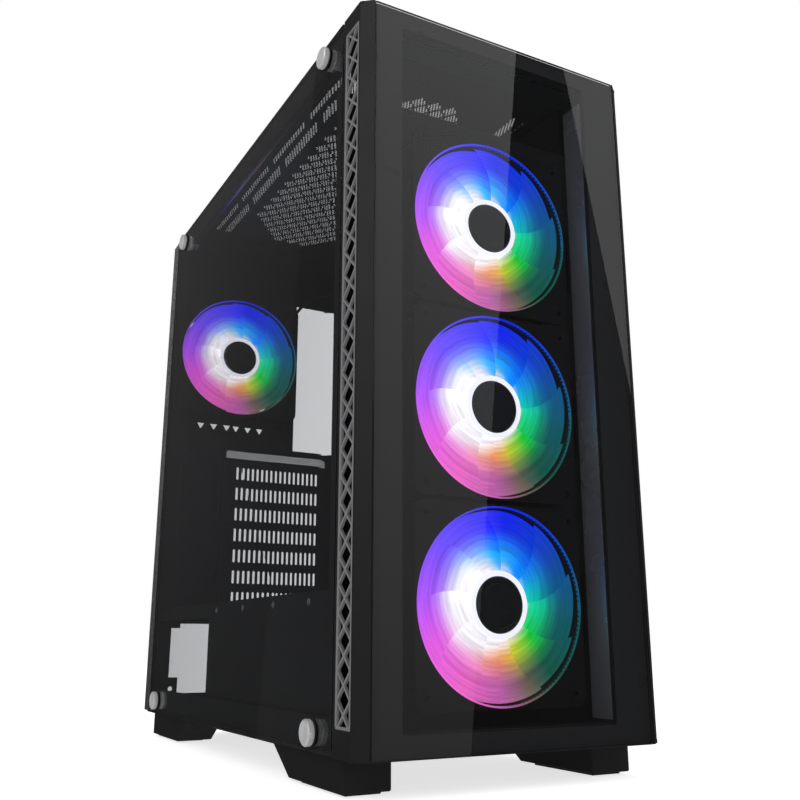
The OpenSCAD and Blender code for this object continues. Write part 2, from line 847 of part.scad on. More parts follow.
// crossed bars in a frame, seated in the fascia's side opening
module vent_lattice(side) {
  len = vent_z2 - vent_z1;
  end = 7.5;
  step = (len - 2 * end) / (crossings - 1);
  wid = vent_v2 - vent_v1;
  lean = atan2(wid - 2, step);
  bar_len = norm([wid, step]) * 1.3;
  u = side == 0 ? 0.4 : body_w - 0.4 - lattice_t;
  color(dark) place() {
    sheet_u(u, lattice_t) {
      difference() {
        rect([vent_v1, vent_z1], [vent_v2, vent_z2]);
        round_rect([vent_v1 + 1.6, vent_z1 + 2], [vent_v2 - 1.6, vent_z2 - 2], 4);
      }
      intersection() {
        rect([vent_v1 + 0.5, vent_z1 + 0.5], [vent_v2 - 0.5, vent_z2 - 0.5]);
        for (k = [0 : crossings - 1], s = [-1, 1])
          translate([(vent_v1 + vent_v2) / 2, vent_z1 + end + k * step])
            rotate(s * lean) square([vent_bar, bar_len * 1.1], center = true);
      }
    }
  }
}

module front_glass() {
  color([0.2, 0.2, 0.22, 0.5]) place()
    sheet_v(0, glass_t) round_rect([bevel_w, floor_z], [body_w - bevel_w, top_z], 1.5);
}

module front_glass_tape() {
  color(black) place()
    sheet_v(glass_t, tape_t) difference() {
      rect([bevel_w + 1, floor_z + 1], [body_w - bevel_w - 1, top_z - 1]);
      rect([bevel_w + window_l, floor_z + window_bottom],
           [body_w - bevel_w - window_r, top_z - window_top]);
    }
}

// snap posts that push into the chassis flanges
module fascia_clips() {
  color(dark) place()
    for (u = clip_us, z = [floor_z + clip_in, top_z - clip_in]) {
      rod_v([u, fascia_d - 8, z], clip_r, 8 + steel_t + 3);
      block([u - 3.5, ledge_v + ledge_t, z - 2.4], [u + 3.5, fascia_d - 2, z + 2.4]);
    }
}

bezel_low = top_z - 0.8;

module io_bezel() {
  color(black) place()
    sheet_z(bezel_low, bezel_t) difference() {
      round_rect([mid_u - io_strip_len / 2 + 0.2, io_strip_v - io_strip_w / 2 + 0.2],
                 [mid_u + io_strip_len / 2 - 0.2, io_strip_v + io_strip_w / 2 - 0.2], 2.8);
      translate([power_u, io_strip_v]) circle(r = power_r + move_gap);
      translate([reset_u, io_strip_v]) circle(r = reset_r + move_gap);
      usb_holes(0.2);
      for (u = jack_us) translate([u, io_strip_v]) circle(r = 3.4);
    }
}

module usb_holes(grow) {
  for (u = [usb3_u, usb2_us[0], usb2_us[1]])
    rect([u - 7 - grow, io_strip_v - 3.2 - grow], [u + 7 + grow, io_strip_v + 3.2 + grow]);
}

io_board_z = top_z - 17;
button_travel = 1.2;

// button with a stem that reaches down to its switch
module button(u, r) {
  color([0.12, 0.12, 0.13]) place() {
    rod_z([u, io_strip_v, top_z - 3.4], r, 5);
    rod_z([u, io_strip_v, top_z - 4.4], r + 1.4, 1.2);
    rod_z([u, io_strip_v, io_board_z + 1.6 + 4.2], 1.6, top_z - 4 - io_board_z - 5.8);
  }
}

module usb_ports() {
  color("silver") place()
    for (u = [usb3_u, usb2_us[0], usb2_us[1]]) {
      difference() {
        block([u - 7, io_strip_v - 3.2, io_board_z + 1.6], [u + 7, io_strip_v + 3.2, top_z + 0.6]);
        block([u - 6.3, io_strip_v - 2.6, io_board_z + 5], [u + 6.3, io_strip_v + 2.6, top_z + 1]);
      }
      block([u - 5.6, io_strip_v + 0.2, io_board_z + 4], [u + 5.6, io_strip_v + 2, top_z - 0.6]);
    }
}

module audio_jacks() {
  color(dark) place()
    for (u = jack_us) difference() {
      union() {
        block([u - 4.5, io_strip_v - 5, io_board_z + 1.6], [u + 4.5, io_strip_v + 5, top_z - 3]);
        rod_z([u, io_strip_v, top_z - 4], 3.2, 4.6);
      }
      rod_z([u, io_strip_v, top_z - 13], 1.8, 15);
    }
}

module io_board() {
  color("darkgreen") place() {
    block([mid_u - 80, io_strip_v - 8, io_board_z], [mid_u + 86, io_strip_v + 8, io_board_z + 1.6]);
    for (u = [power_u, reset_u]) {
      block([u - 3, io_strip_v - 3, io_board_z + 1.6], [u + 3, io_strip_v + 3, io_board_z + 4.4]);
    }
    for (u = [mid_u - 75, mid_u + 81]) difference() {
      rod_z([u, io_strip_v, io_board_z + 1.6], 2.5, top_z - fascia_wall - io_board_z - 1.6);
      rod_z([u, io_strip_v, io_board_z + 1], 1, 8);
    }
  }
}

module left_glass() {
  color([0.2, 0.2, 0.22, 0.5]) place() difference() {
    sheet_u(0, glass_t) round_rect([glass_v1, floor_z], [glass_v2, top_z], 2);
    for (v = screw_vs, z = screw_zs) rod_u([-1, v, z], glass_hole_r, glass_t + 2);
  }
}

grommet_r = 6.6;

// rubber grommets: a collar on each face of the glass and a sleeve through it
module glass_grommets() {
  color([0.02, 0.02, 0.02]) place()
    for (v = screw_vs, z = screw_zs) difference() {
      union() {
        rod_u([-collar_t, v, z], head_r + 0.4, collar_t);
        rod_u([-collar_t, v, z], glass_hole_r, glass_t + collar_t);
        rod_u([glass_t, v, z], grommet_r, collar_t - move_gap);
      }
      rod_u([-collar_t - 1, v, z], thread_r + move_gap, glass_t + 4);
    }
}

// knurled head on the outside, thread into the bush
module glass_screw(v, z) {
  color("silver") place() {
    difference() {
      rod_u([-head_out, v, z], head_r, head_t);
      for (a = [0 : 15 : 345])
        translate([-head_out - 1, v, z]) rotate([a, 0, 0]) translate([0, 0, head_r + 0.35])
          rotate([0, 90, 0]) cylinder(r = 0.9, h = head_t + 2, $fn = 16);
    }
    rod_u([-collar_t - 0.2, v, z], thread_r, collar_t + glass_t + bush_len - 1);
  }
}

panel_screw_u = body_w - 7;
panel_screw_zs = [floor_z + 46, top_z - 46];
panel_back = body_d + 0.4;

module right_panel() {
  color(black) place() {
    sheet_u(panel_in, steel_t) rect([chassis_v, floor_z], [panel_back + steel_t, top_z]);
    sheet_v(panel_back, steel_t) difference() {
      rect([body_w - 14, floor_z], [panel_in, top_z]);
      for (z = panel_screw_zs) translate([panel_screw_u, z]) circle(r = 3.4);
    }
    for (v = hook_vs, z = [floor_z + hook_in, top_z - hook_in]) {
      block([right_flange - hook_gap - hook_t, v + hook_len / 2, z - hook_half],
            [panel_in, v + hook_len / 2 + 2, z + hook_half]);
      block([right_flange - hook_gap - hook_t, v - hook_len / 3, z - hook_half],
            [right_flange - hook_gap, v + hook_len / 2 + 2, z + hook_half]);
    }
  }
}

// captive thumbscrew of the steel panel
module panel_screw(z) {
  face = panel_back + steel_t;
  color("silver") place() {
    rod_v([panel_screw_u, face + 0.3, z], 5, 6);
    rod_v([panel_screw_u, body_d - 4, z], thread_r, face + 4.5 - body_d);
  }
}

filter_t = 2.7;
filter_rim = 9;

// magnetic frame with a fine mesh on the roof
module roof_filter() {
  a = [roof_vent_u[0] - 6, roof_vent_v[0] - 8];
  b = [roof_vent_u[1] + 6, roof_vent_v[1] + 8];
  color(black) place() {
    sheet_z(top_z + move_gap, filter_t) difference() {
      round_rect(a, b, 8);
      round_rect(a + [filter_rim, filter_rim], b - [filter_rim, filter_rim], 4);
      }
    sheet_z(top_z + move_gap, 0.6) rect(a + [filter_rim, filter_rim] / 2, b - [filter_rim, filter_rim] / 2);
  }
}

// framed mesh that slides out under the power supply
module psu_filter() {
  a = [psu_vent_u[0] - filter_side, psu_vent_v[0] - filter_front];
  b = [psu_vent_u[1] + filter_side, body_d];
  low = floor_z - 3.9;
  color(dark) place() {
    sheet_z(low, 3.4) difference() {
      rect(a, b);
      for (k = [0, 1]) rect([a[0] + 8 + k * (b[0] - a[0] - 8) / 2, a[1] + 8],
                            [(a[0] + b[0]) / 2 - 4 + k * (b[0] - a[0] - 8) / 2, b[1] - 22]);
    }
    sheet_z(low + 1.4, 0.6) rect(a + [6, 6], b - [6, 18]);
    block([mid_u - 30, body_d, low - 2], [mid_u + 30, body_d + 3, low + 3.4]);
  }
}

floor_pan();
rear_wall();
roof_panel();
motherboard_tray();
front_fan_wall();
psu_shroud();
glass_standoffs();
chassis_rivets();
board_standoffs();
psu_pads();
feet();
foot_pads();
slot_cover(0);  // slot_cover_1
slot_cover(1);  // slot_cover_2
slot_cover(2);  // slot_cover_3
slot_cover(3);  // slot_cover_4
slot_cover(4);  // slot_cover_5
slot_cover(5);  // slot_cover_6
slot_cover(6);  // slot_cover_7
slot_screws();
slot_shield();
drive_cage();
drive_caddy(0);  // drive_caddy_1
drive_caddy(1);  // drive_caddy_2
ssd_brackets();
fan_screws();
fan_frame(mid_u, fan_zs[0], fan_front);  // fan_1_frame
fan_frame(mid_u, fan_zs[1], fan_front);  // fan_2_frame
fan_frame(mid_u, fan_zs[2], fan_front);  // fan_3_frame
fan_frame(rear_fan_u, rear_fan_z, rear_fan_front);  // rear_fan_frame
fan_rotor(mid_u, fan_zs[0], fan_front);  // fan_1_rotor
fan_rotor(mid_u, fan_zs[1], fan_front);  // fan_2_rotor
fan_rotor(mid_u, fan_zs[2], fan_front);  // fan_3_rotor
fan_rotor(rear_fan_u, rear_fan_z, rear_fan_front);  // rear_fan_rotor
fan_motors();
fan_hub();
fan_leads();
front_fascia();
vent_lattice(0);  // vent_lattice_left
vent_lattice(1);  // vent_lattice_right
front_glass();
front_glass_tape();
fascia_clips();
io_bezel();
button(power_u, power_r);  // power_button
button(reset_u, reset_r);  // reset_button
usb_ports();
audio_jacks();
io_board();
left_glass();
glass_grommets();
glass_screw(screw_vs[0], screw_zs[1]);  // glass_screw_front_top
glass_screw(screw_vs[0], screw_zs[0]);  // glass_screw_front_bottom
glass_screw(screw_vs[1], screw_zs[1]);  // glass_screw_rear_top
glass_screw(screw_vs[1], screw_zs[0]);  // glass_screw_rear_bottom
right_panel();
panel_screw(panel_screw_zs[1]);  // panel_screw_top
panel_screw(panel_screw_zs[0]);  // panel_screw_bottom
roof_filter();
psu_filter();
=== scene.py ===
"""Looks of a mid-tower computer case: glass front and left side, four lit fans, perforated steel.

Sizes are in metres in the tower's own frame: X to the right, Y from the front glass to the rear, Z up.
"""

import json
import math

import bmesh
import bpy
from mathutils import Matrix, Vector
from mathutils.geometry import delaunay_2d_cdt

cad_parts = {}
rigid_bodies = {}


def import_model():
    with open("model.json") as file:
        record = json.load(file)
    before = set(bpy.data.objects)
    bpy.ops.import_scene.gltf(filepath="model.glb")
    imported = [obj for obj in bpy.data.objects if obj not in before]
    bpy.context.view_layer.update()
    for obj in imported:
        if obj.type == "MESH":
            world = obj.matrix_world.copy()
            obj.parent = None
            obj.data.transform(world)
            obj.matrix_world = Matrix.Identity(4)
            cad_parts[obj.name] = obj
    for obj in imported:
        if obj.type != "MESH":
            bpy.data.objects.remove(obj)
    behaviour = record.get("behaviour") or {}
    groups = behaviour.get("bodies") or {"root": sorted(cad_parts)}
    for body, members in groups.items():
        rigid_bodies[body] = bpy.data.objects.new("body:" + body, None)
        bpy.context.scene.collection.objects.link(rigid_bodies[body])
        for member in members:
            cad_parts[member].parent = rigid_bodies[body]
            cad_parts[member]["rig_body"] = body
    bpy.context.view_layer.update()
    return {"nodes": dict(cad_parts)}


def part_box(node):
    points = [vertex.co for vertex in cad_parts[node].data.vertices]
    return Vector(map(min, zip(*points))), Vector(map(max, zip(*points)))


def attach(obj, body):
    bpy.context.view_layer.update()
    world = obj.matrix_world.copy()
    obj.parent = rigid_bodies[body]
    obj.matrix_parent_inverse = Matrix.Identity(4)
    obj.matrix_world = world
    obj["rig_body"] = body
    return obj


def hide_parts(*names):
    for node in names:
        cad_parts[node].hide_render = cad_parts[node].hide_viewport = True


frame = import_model()

bl_info = {
    "name": "Glass-front computer tower",
    "version": (1, 0, 0),
    "blender": (4, 5, 0),
    "location": "View3D > Sidebar > Tower",
    "description": "Builds the visible pieces, finishes, lights and camera of a mid-tower computer case",
    "category": "Object",
}

MM = 0.001
BOX = {name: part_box(name) for name in frame["nodes"]}

FANS = ("fan_1", "fan_2", "fan_3", "rear_fan")
STEEL = 1 * MM
SHEET_TOP = BOX["roof_panel"][1].z
REAR_IN = BOX["rear_fan_frame"][1].y
REAR_OUT = REAR_IN + STEEL
FAN_RADIUS = (BOX["fan_1_rotor"][1].z - BOX["fan_1_rotor"][0].z) / 2


def fan_centre(fan):
    """Where a fan's axle meets the front face of its frame."""
    rotor, housing = BOX[fan + "_rotor"], BOX[fan + "_frame"]
    height = (rotor[0].z + rotor[1].z) / 2
    across = (housing[0].x + housing[1].x) / 2
    return Vector((across, housing[0].y, height))


# ---------------------------------------------------------------- settings


class TowerSizes(bpy.types.PropertyGroup):
    """Sizes of the details that the looks add to the design."""

    edge: bpy.props.FloatProperty(
        name="Sheet edge", description="Rounding of folded and cut steel edges",
        default=0.25 * MM, min=0, unit="LENGTH")
    moulded_edge: bpy.props.FloatProperty(
        name="Moulded edge", description="Rounding of moulded plastic edges",
        default=0.6 * MM, min=0, unit="LENGTH")
    glass_edge: bpy.props.FloatProperty(
        name="Glass edge", description="Ground chamfer round both panes",
        default=0.7 * MM, min=0, unit="LENGTH")
    crossings: bpy.props.IntProperty(
        name="Vent crossings", description="Crossings of the bars in each side vent",
        default=28, min=4, max=40)
    vent_bar: bpy.props.FloatProperty(
        name="Vent bar", description="Width of the crossed bars in the side vents",
        default=1.4 * MM, min=0, unit="LENGTH")
    blade_count: bpy.props.IntProperty(
        name="Blades", description="Blades on each rotor", default=9, min=3, max=15)
    blade_overlap: bpy.props.FloatProperty(
        name="Blade overlap", description="Share of a blade's pitch that it covers, seen from the front",
        default=1.34, min=0.6, max=1.8)
    cap_radius: bpy.props.FloatProperty(
        name="Hub cap", description="Radius of the dark cap on each hub",
        default=17.2 * MM, min=0.01, unit="LENGTH")
    slit: bpy.props.FloatProperty(
        name="Roof slit", description="Width of each slit in the roof",
        default=1.25 * MM, min=0, unit="LENGTH")
    slit_pitch: bpy.props.FloatProperty(
        name="Roof slit pitch", description="Distance between neighbouring slits in the roof",
        default=2.15 * MM, min=0, unit="LENGTH")
    slit_lean: bpy.props.FloatProperty(
        name="Roof slit lean", description="Direction of the slits, turned from straight across the roof",
        default=1.13, subtype="ANGLE")
    cell: bpy.props.FloatProperty(
        name="Roof diamond", description="Long pitch of the diamonds in the roof's middle field",
        default=17.4 * MM, min=0, unit="LENGTH")
    pinhole: bpy.props.FloatProperty(
        name="Pinhole", description="Radius of the small holes over the card slots",
        default=0.8 * MM, min=0, unit="LENGTH")
    pinhole_pitch: bpy.props.FloatProperty(
        name="Pinhole pitch", description="Distance between the small holes",
        default=2.1 * MM, min=0, unit="LENGTH")
    thread: bpy.props.FloatProperty(
        name="Filter thread", description="Thickness of the filters' threads",
        default=0.26 * MM, min=0, unit="LENGTH")
    thread_pitch: bpy.props.FloatProperty(
        name="Filter pitch", description="Distance between the filters' threads",
        default=1.25 * MM, min=0, unit="LENGTH")


def paint(name, description, value):
    """A colour setting."""
    return bpy.props.FloatVectorProperty(
        name=name, description=description, default=value, min=0, max=1, size=3, subtype="COLOR")


class TowerFinishes(bpy.types.PropertyGroup):
    """Colours of the finishes."""

    coat: paint("Powder coat", "Colour of the coated steel", (0.021, 0.021, 0.023))
    plastic: paint("Plastic", "Colour of the moulded frame, fans and feet", (0.014, 0.014, 0.015))
    vent: paint("Side vent", "Colour of the vents beside the glass", (0.19, 0.19, 0.195))
    glass: paint("Glass tint", "Tint of both panes", (0.72, 0.73, 0.75))
    border: paint("Printed border", "Colour printed round the front glass", (0.04, 0.04, 0.042))
    zinc: paint("Zinc", "Colour of plated steel", (0.56, 0.57, 0.58))
    nickel: paint("Nickel", "Colour of the glass screws", (0.85, 0.85, 0.86))
    brass: paint("Brass", "Colour of the mainboard standoffs", (0.72, 0.52, 0.24))
    solder_mask: paint("Solder mask", "Colour of the socket board", (0.008, 0.016, 0.013))
    rubber: paint("Rubber", "Colour of pads, grommets and leads", (0.012, 0.012, 0.013))
    glow: bpy.props.FloatProperty(
        name="Fan light", description="Brightness of the lit rotors", default=1.3, min=0, max=10)


class TowerStage(bpy.types.PropertyGroup):
    """Camera, lamps and reflected cards."""

    eye: bpy.props.FloatVectorProperty(
        name="Camera place", description="Camera position from the middle of the tower's foot",
        default=(-0.3229, -0.6721, 0.0801), size=3, subtype="TRANSLATION", unit="LENGTH")
    heading: bpy.props.FloatProperty(
        name="Heading", description="Camera heading, to the right of straight at the front",
        default=math.radians(28.58), subtype="ANGLE")
    pitch: bpy.props.FloatProperty(
        name="Pitch", description="Camera angle above level", default=math.radians(14.67), subtype="ANGLE")
    lens: bpy.props.FloatProperty(
        name="Lens", description="Focal length in millimetres", default=41.67, min=10, max=200)
    backdrop: bpy.props.FloatProperty(
        name="Backdrop", description="Brightness of the plain background", default=1.0, min=0)
    fill: bpy.props.FloatProperty(
        name="Fill", description="Soft light from all round", default=0.4, min=0)
    mirror: bpy.props.FloatProperty(
        name="Mirrored surroundings", description="Brightness that glossy pieces mirror",
        default=0.05, min=0)
    front_card: bpy.props.FloatProperty(
        name="Front card", description="Brightness of the card that the front pane mirrors",
        default=1.1, min=0)
    side_card: bpy.props.FloatProperty(
        name="Side card", description="Brightness of the card that the left pane mirrors",
        default=0.09, min=0)
    floor_glow: bpy.props.FloatProperty(
        name="Floor light", description="Brightness that the pale floor gives by itself", default=0.72, min=0)
    lamp_size: bpy.props.FloatProperty(
        name="Lamp size", description="Side of each soft lamp", default=1.6, min=0.01, unit="LENGTH")
    corner_card: bpy.props.FloatProperty(
        name="Corner card", description="Brightness of the card that the rear corner mirrors",
        default=3.0, min=0)


def sizes():
    return bpy.context.scene.tower_sizes


def finishes():
    return bpy.context.scene.tower_finishes


# ---------------------------------------------------------------- mesh tools


def mesh_of(name, points, faces):
    """A mesh from points and faces."""
    mesh = bpy.data.meshes.new(name)
    mesh.from_pydata([tuple(p) for p in points], [], faces)
    mesh.validate()
    return mesh


def piece(name, mesh, body, material, replaces=()):
    """A finished piece that moves with a CAD body and takes the place of CAD nodes."""
    made = bpy.data.objects.new(name, mesh)
    bpy.context.scene.collection.objects.link(made)
    if material is not None:
        made.data.materials.clear()
        made.data.materials.append(material)
    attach(made, body)
    if replaces:
        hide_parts(*replaces)
    return made


def body_of(node):
    return frame["nodes"][node]["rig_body"]


def settled(made):
    """The mesh of an object with its modifiers applied; the object itself is removed."""
    graph = bpy.context.evaluated_depsgraph_get()
    mesh = bpy.data.meshes.new_from_object(made.evaluated_get(graph))
    bpy.data.objects.remove(made)
    return mesh


def loose(name, mesh):
    """An object that only carries a mesh through modifiers."""
    made = bpy.data.objects.new(name, mesh)
    bpy.context.scene.collection.objects.link(made)
    return made


def softened(mesh, width, segments=2, angle=35):
    """Rounds a mesh's sharp edges and smooths only across the rounding."""
    made = loose("softening", mesh)
    if width > 0:
        rounding = made.modifiers.new("Rounding", "BEVEL")
        rounding.width = width
        rounding.segments = segments
        rounding.limit_method = "ANGLE"
        rounding.angle_limit = math.radians(angle)
        rounding.use_clamp_overlap = True
        rounding.miter_outer = "MITER_ARC"
    made = loose("weighting", smooth(settled(made), angle + 11))
    weighting = made.modifiers.new("Weighting", "WEIGHTED_NORMAL")
    weighting.keep_sharp = True
    return settled(made)


def merged(node, flat=False):
    """A CAD node's mesh with its loose triangles joined, and made into flat faces where asked."""
    made = bmesh.new()
    made.from_mesh(frame["nodes"][node].data)
    bmesh.ops.remove_doubles(made, verts=made.verts, dist=2e-6)
    if flat:
        bmesh.ops.dissolve_limit(made, angle_limit=math.radians(0.6), verts=made.verts, edges=made.edges)
    return made


def to_mesh(made, name):
    """Ends a bmesh as a mesh."""
    mesh = bpy.data.meshes.new(name)
    made.normal_update()
    made.to_mesh(mesh)
    made.free()
    return mesh


def refined(name, node, material, width=None, segments=2):
    """A CAD node with rounded edges, in its place."""
    width = sizes().edge if width is None else width
    mesh = softened(to_mesh(merged(node, width > 0), name), width, segments)
    return piece(name, mesh, body_of(node), material, [node])


def joined(name, meshes):
    """Several meshes as one."""
    made = bmesh.new()
    for mesh in meshes:
        made.from_mesh(mesh)
    return to_mesh(made, name)


def outward(mesh, name):
    """The same closed mesh, its normals outward and its unused points gone."""
    made = bmesh.new()
    made.from_mesh(mesh)
    bmesh.ops.recalc_face_normals(made, faces=made.faces)
    bmesh.ops.delete(made, geom=[v for v in made.verts if not v.link_faces], context="VERTS")
    return to_mesh(made, name)


def smooth(mesh, angle=50):
    """Shades a mesh smoothly, apart from edges that turn more sharply than the angle."""
    mesh.polygons.foreach_set("use_smooth", [True] * len(mesh.polygons))
    mesh.set_sharp_from_angle(angle=math.radians(angle))
    return mesh


def faces_between(rings, closed=False):
    """Faces between neighbouring rings of points, and from the last ring to the first where closed."""
    steps, faces = len(rings[0]), []
    pairs = list(zip(rings, rings[1:])) + ([(rings[-1], rings[0])] if closed else [])
    for inner, outer in pairs:
        for k in range(steps):
            corner = [inner[k], inner[(k + 1) % steps], outer[(k + 1) % steps], outer[k]]
            corner = list(dict.fromkeys(corner))
            if len(corner) > 2:
                faces.append(tuple(corner))
    return faces


def block_mesh(low, high):
    """A box between two corners."""
    x, y, z = zip(low, high)
    points = [(x[i], y[j], z[k]) for i in (0, 1) for j in (0, 1) for k in (0, 1)]
    faces = [(0, 1, 3, 2), (4, 6, 7, 5), (0, 4, 5, 1), (2, 3, 7, 6), (0, 2, 6, 4), (1, 5, 7, 3)]
    return mesh_of("block", points, faces)


def round_rectangle(a0, b0, a1, b1, radius, steps=6):
    """Outline of a rectangle with round corners, counter-clockwise."""
    corners = [(a1 - radius, b0 + radius, -90), (a1 - radius, b1 - radius, 0),
               (a0 + radius, b1 - radius, 90), (a0 + radius, b0 + radius, 180)]
    return [(a + radius * math.cos(math.radians(start + 90 * k / steps)),
             b + radius * math.sin(math.radians(start + 90 * k / steps)))
            for a, b, start in corners for k in range(steps + 1)]


def slit_outline(a, b, length, width, turn, steps=2):
    """Outline of a slit with round ends."""
    cos_turn, sin_turn = math.cos(turn), math.sin(turn)
    radius, half = width / 2, (length - width) / 2
    outline = []
    for side in (1, -1):
        for k in range(steps + 1):
            angle = math.pi * (k / steps - 0.5)
            x = side * (half + radius * math.cos(angle))
            y = side * radius * math.sin(angle)
            outline.append((a + x * cos_turn - y * sin_turn, b + x * sin_turn + y * cos_turn))
    return outline


def rounded_polygon(points, inset, radius, steps=3):
    """A convex counter-clockwise outline moved inwards, with its corners rounded."""
    count, inner = len(points), []
    flat = [Vector(p) for p in points]
    for k in range(count):
        before = (flat[k] - flat[k - 1]).normalized()
        after = (flat[(k + 1) % count] - flat[k]).normalized()
        bisector = (after - before).normalized()
        half = math.sin(before.angle(-after) / 2)
        inner.append(flat[k] + bisector * inset / half)
    outline = []
    for k in range(count):
        corner = inner[k]
        start = corner + (inner[k - 1] - corner).normalized() * radius
        end = corner + (inner[(k + 1) % count] - corner).normalized() * radius
        for n in range(steps + 1):
            t = n / steps
            outline.append(tuple((1 - t) ** 2 * start + 2 * t * (1 - t) * corner + t * t * end))
    return outline


def clipped(points, level, side):
    """The part of a convex outline above a level, or below it where side is -1."""
    kept = []
    for before, here in zip([points[-1]] + points[:-1], points):
        cut_before, cut_here = side * (before[1] - level), side * (here[1] - level)
        if cut_before * cut_here < 0:
            share = cut_before / (cut_before - cut_here)
            kept.append((before[0] + share * (here[0] - before[0]), level))
        if cut_here >= 0:
            kept.append(here)
    return kept


def circle_outline(a, b, radius, steps):
    return [(a + radius * math.cos(2 * math.pi * k / steps), b + radius * math.sin(2 * math.pi * k / steps))
            for k in range(steps)]


def inside(point, outline):
    """Whether a flat point lies in an outline."""
    x, y = point
    hit = False
    for (x1, y1), (x2, y2) in zip(outline, outline[1:] + outline[:1]):
        if (y1 > y) != (y2 > y) and x < (x2 - x1) * (y - y1) / (y2 - y1) + x1:
            hit = not hit
    return hit


def plate(name, outline, holes, low, high, lift):
    """A flat sheet with holes between two heights; lift(a, b, t) places a flat point in space."""
    loops = [outline] + holes
    points, edges, loop_of = [], [], []
    for number, loop in enumerate(loops):
        start = len(points)
        points += [Vector(p) for p in loop]
        edges += [(start + k, start + (k + 1) % len(loop)) for k in range(len(loop))]
        loop_of += [number] * len(loop)
    made, _, faces, origin, _, _ = delaunay_2d_cdt(points, edges, [], 0, 1e-9)
    number_of = [loop_of[o[0]] if o else -1 for o in origin]
    kept = []
    for face in faces:
        owners = {number_of[v] for v in face}
        if len(owners) == 1:
            owner = owners.pop()
            centre = sum((made[v] for v in face), Vector((0, 0))) / 3
            if (owner > 0) == inside(centre, loops[owner]):
                continue
        kept.append(tuple(face))
    count = len(made)
    solid = [lift(p.x, p.y, low) for p in made] + [lift(p.x, p.y, high) for p in made]
    used = {}
    for face in kept:
        for k, v in enumerate(face):
            used[(v, face[(k + 1) % 3])] = True
    rim = [e for e in used if (e[1], e[0]) not in used]
    faces = [tuple(v + count for v in f) for f in kept] + [f[::-1] for f in kept]
    faces += [(a, b, b + count, a + count) for a, b in rim]
    return outward(mesh_of(name, solid, faces), name)


def lift_y(a, b, t):
    return (a, t, b)


def lift_x(a, b, t):
    return (t, a, b)


def lift_z(a, b, t):
    return (a, b, t)


def lathe(name, outline, centre, axis, steps=64):
    """A closed solid turned about an axis from (radius, distance) points."""
    along = Vector(axis)
    side = along.orthogonal().normalized()
    up = along.cross(side)
    points, rings = [], []
    for radius, distance in outline:
        if radius < 1e-7:
            rings.append([len(points)] * steps)
            points.append(centre + along * distance)
            continue
        rings.append(range(len(points), len(points) + steps))
        for k in range(steps):
            turn = 2 * math.pi * k / steps
            points.append(centre + along * distance + radius * (math.cos(turn) * side + math.sin(turn) * up))
    closed = outline[0][0] > 1e-7 and outline[-1][0] > 1e-7
    return outward(mesh_of(name, points, faces_between(rings, closed)), name)


def swept_tube(name, points, radius, sides=10, smooth=6):
    """A round tube along a smooth curve through points, its ends closed."""
    curve = bpy.data.curves.new(name, "CURVE")
    curve.dimensions = "3D"
    curve.bevel_depth = radius
    curve.bevel_resolution = max(1, sides // 4)
    curve.use_fill_caps = True
    curve.resolution_u = smooth
    spline = curve.splines.new("BEZIER")
    spline.bezier_points.add(len(points) - 1)
    for place, point in zip(points, spline.bezier_points):
        point.co = place
        point.handle_left_type = point.handle_right_type = "AUTO"
    return settled(loose(name, curve))


# ---------------------------------------------------------------- repeats by geometry nodes


def input_socket(tree, name):
    """Identifier of a node tree's input."""
    return next(s.identifier for s in tree.interface.items_tree if s.name == name and s.in_out == "INPUT")


def pieces_on_points():
    """Tree that sets one template on every point, turned by the point's own angles."""
    tree = bpy.data.node_groups.get("Pieces on points")
    if tree:
        return tree
    tree = bpy.data.node_groups.new("Pieces on points", "GeometryNodeTree")
    tree.interface.new_socket(name="Geometry", in_out="INPUT", socket_type="NodeSocketGeometry")
    tree.interface.new_socket(name="Template", in_out="INPUT", socket_type="NodeSocketObject")
    tree.interface.new_socket(name="Finish", in_out="INPUT", socket_type="NodeSocketMaterial")
    tree.interface.new_socket(name="Geometry", in_out="OUTPUT", socket_type="NodeSocketGeometry")
    put, link = tree.nodes.new, tree.links.new
    start, end = put("NodeGroupInput"), put("NodeGroupOutput")
    info, turn = put("GeometryNodeObjectInfo"), put("GeometryNodeInputNamedAttribute")
    turn.data_type = "FLOAT_VECTOR"
    turn.inputs["Name"].default_value = "turn"
    copies, real = put("GeometryNodeInstanceOnPoints"), put("GeometryNodeRealizeInstances")
    coat = put("GeometryNodeSetMaterial")
    link(start.outputs["Template"], info.inputs["Object"])
    link(start.outputs["Geometry"], copies.inputs["Points"])
    link(info.outputs["Geometry"], copies.inputs["Instance"])
    link(turn.outputs["Attribute"], copies.inputs["Rotation"])
    link(copies.outputs["Instances"], real.inputs["Geometry"])
    link(real.outputs["Geometry"], coat.inputs["Geometry"])
    link(start.outputs["Finish"], coat.inputs["Material"])
    link(coat.outputs["Geometry"], end.inputs["Geometry"])
    return tree


def repeated(name, template, places, turns, material):
    """One mesh of a template set at each place, turned by Euler angles."""
    stand_in = loose("template", template)
    points = mesh_of(name, places, [])
    turn = points.attributes.new("turn", "FLOAT_VECTOR", "POINT")
    turn.data.foreach_set("vector", [value for angles in turns for value in angles])
    made = loose(name, points)
    tree = pieces_on_points()
    step = made.modifiers.new("Repeat", "NODES")
    step.node_group = tree
    step[input_socket(tree, "Template")] = stand_in
    step[input_socket(tree, "Finish")] = material
    mesh = settled(made)
    bpy.data.objects.remove(stand_in)
    return mesh


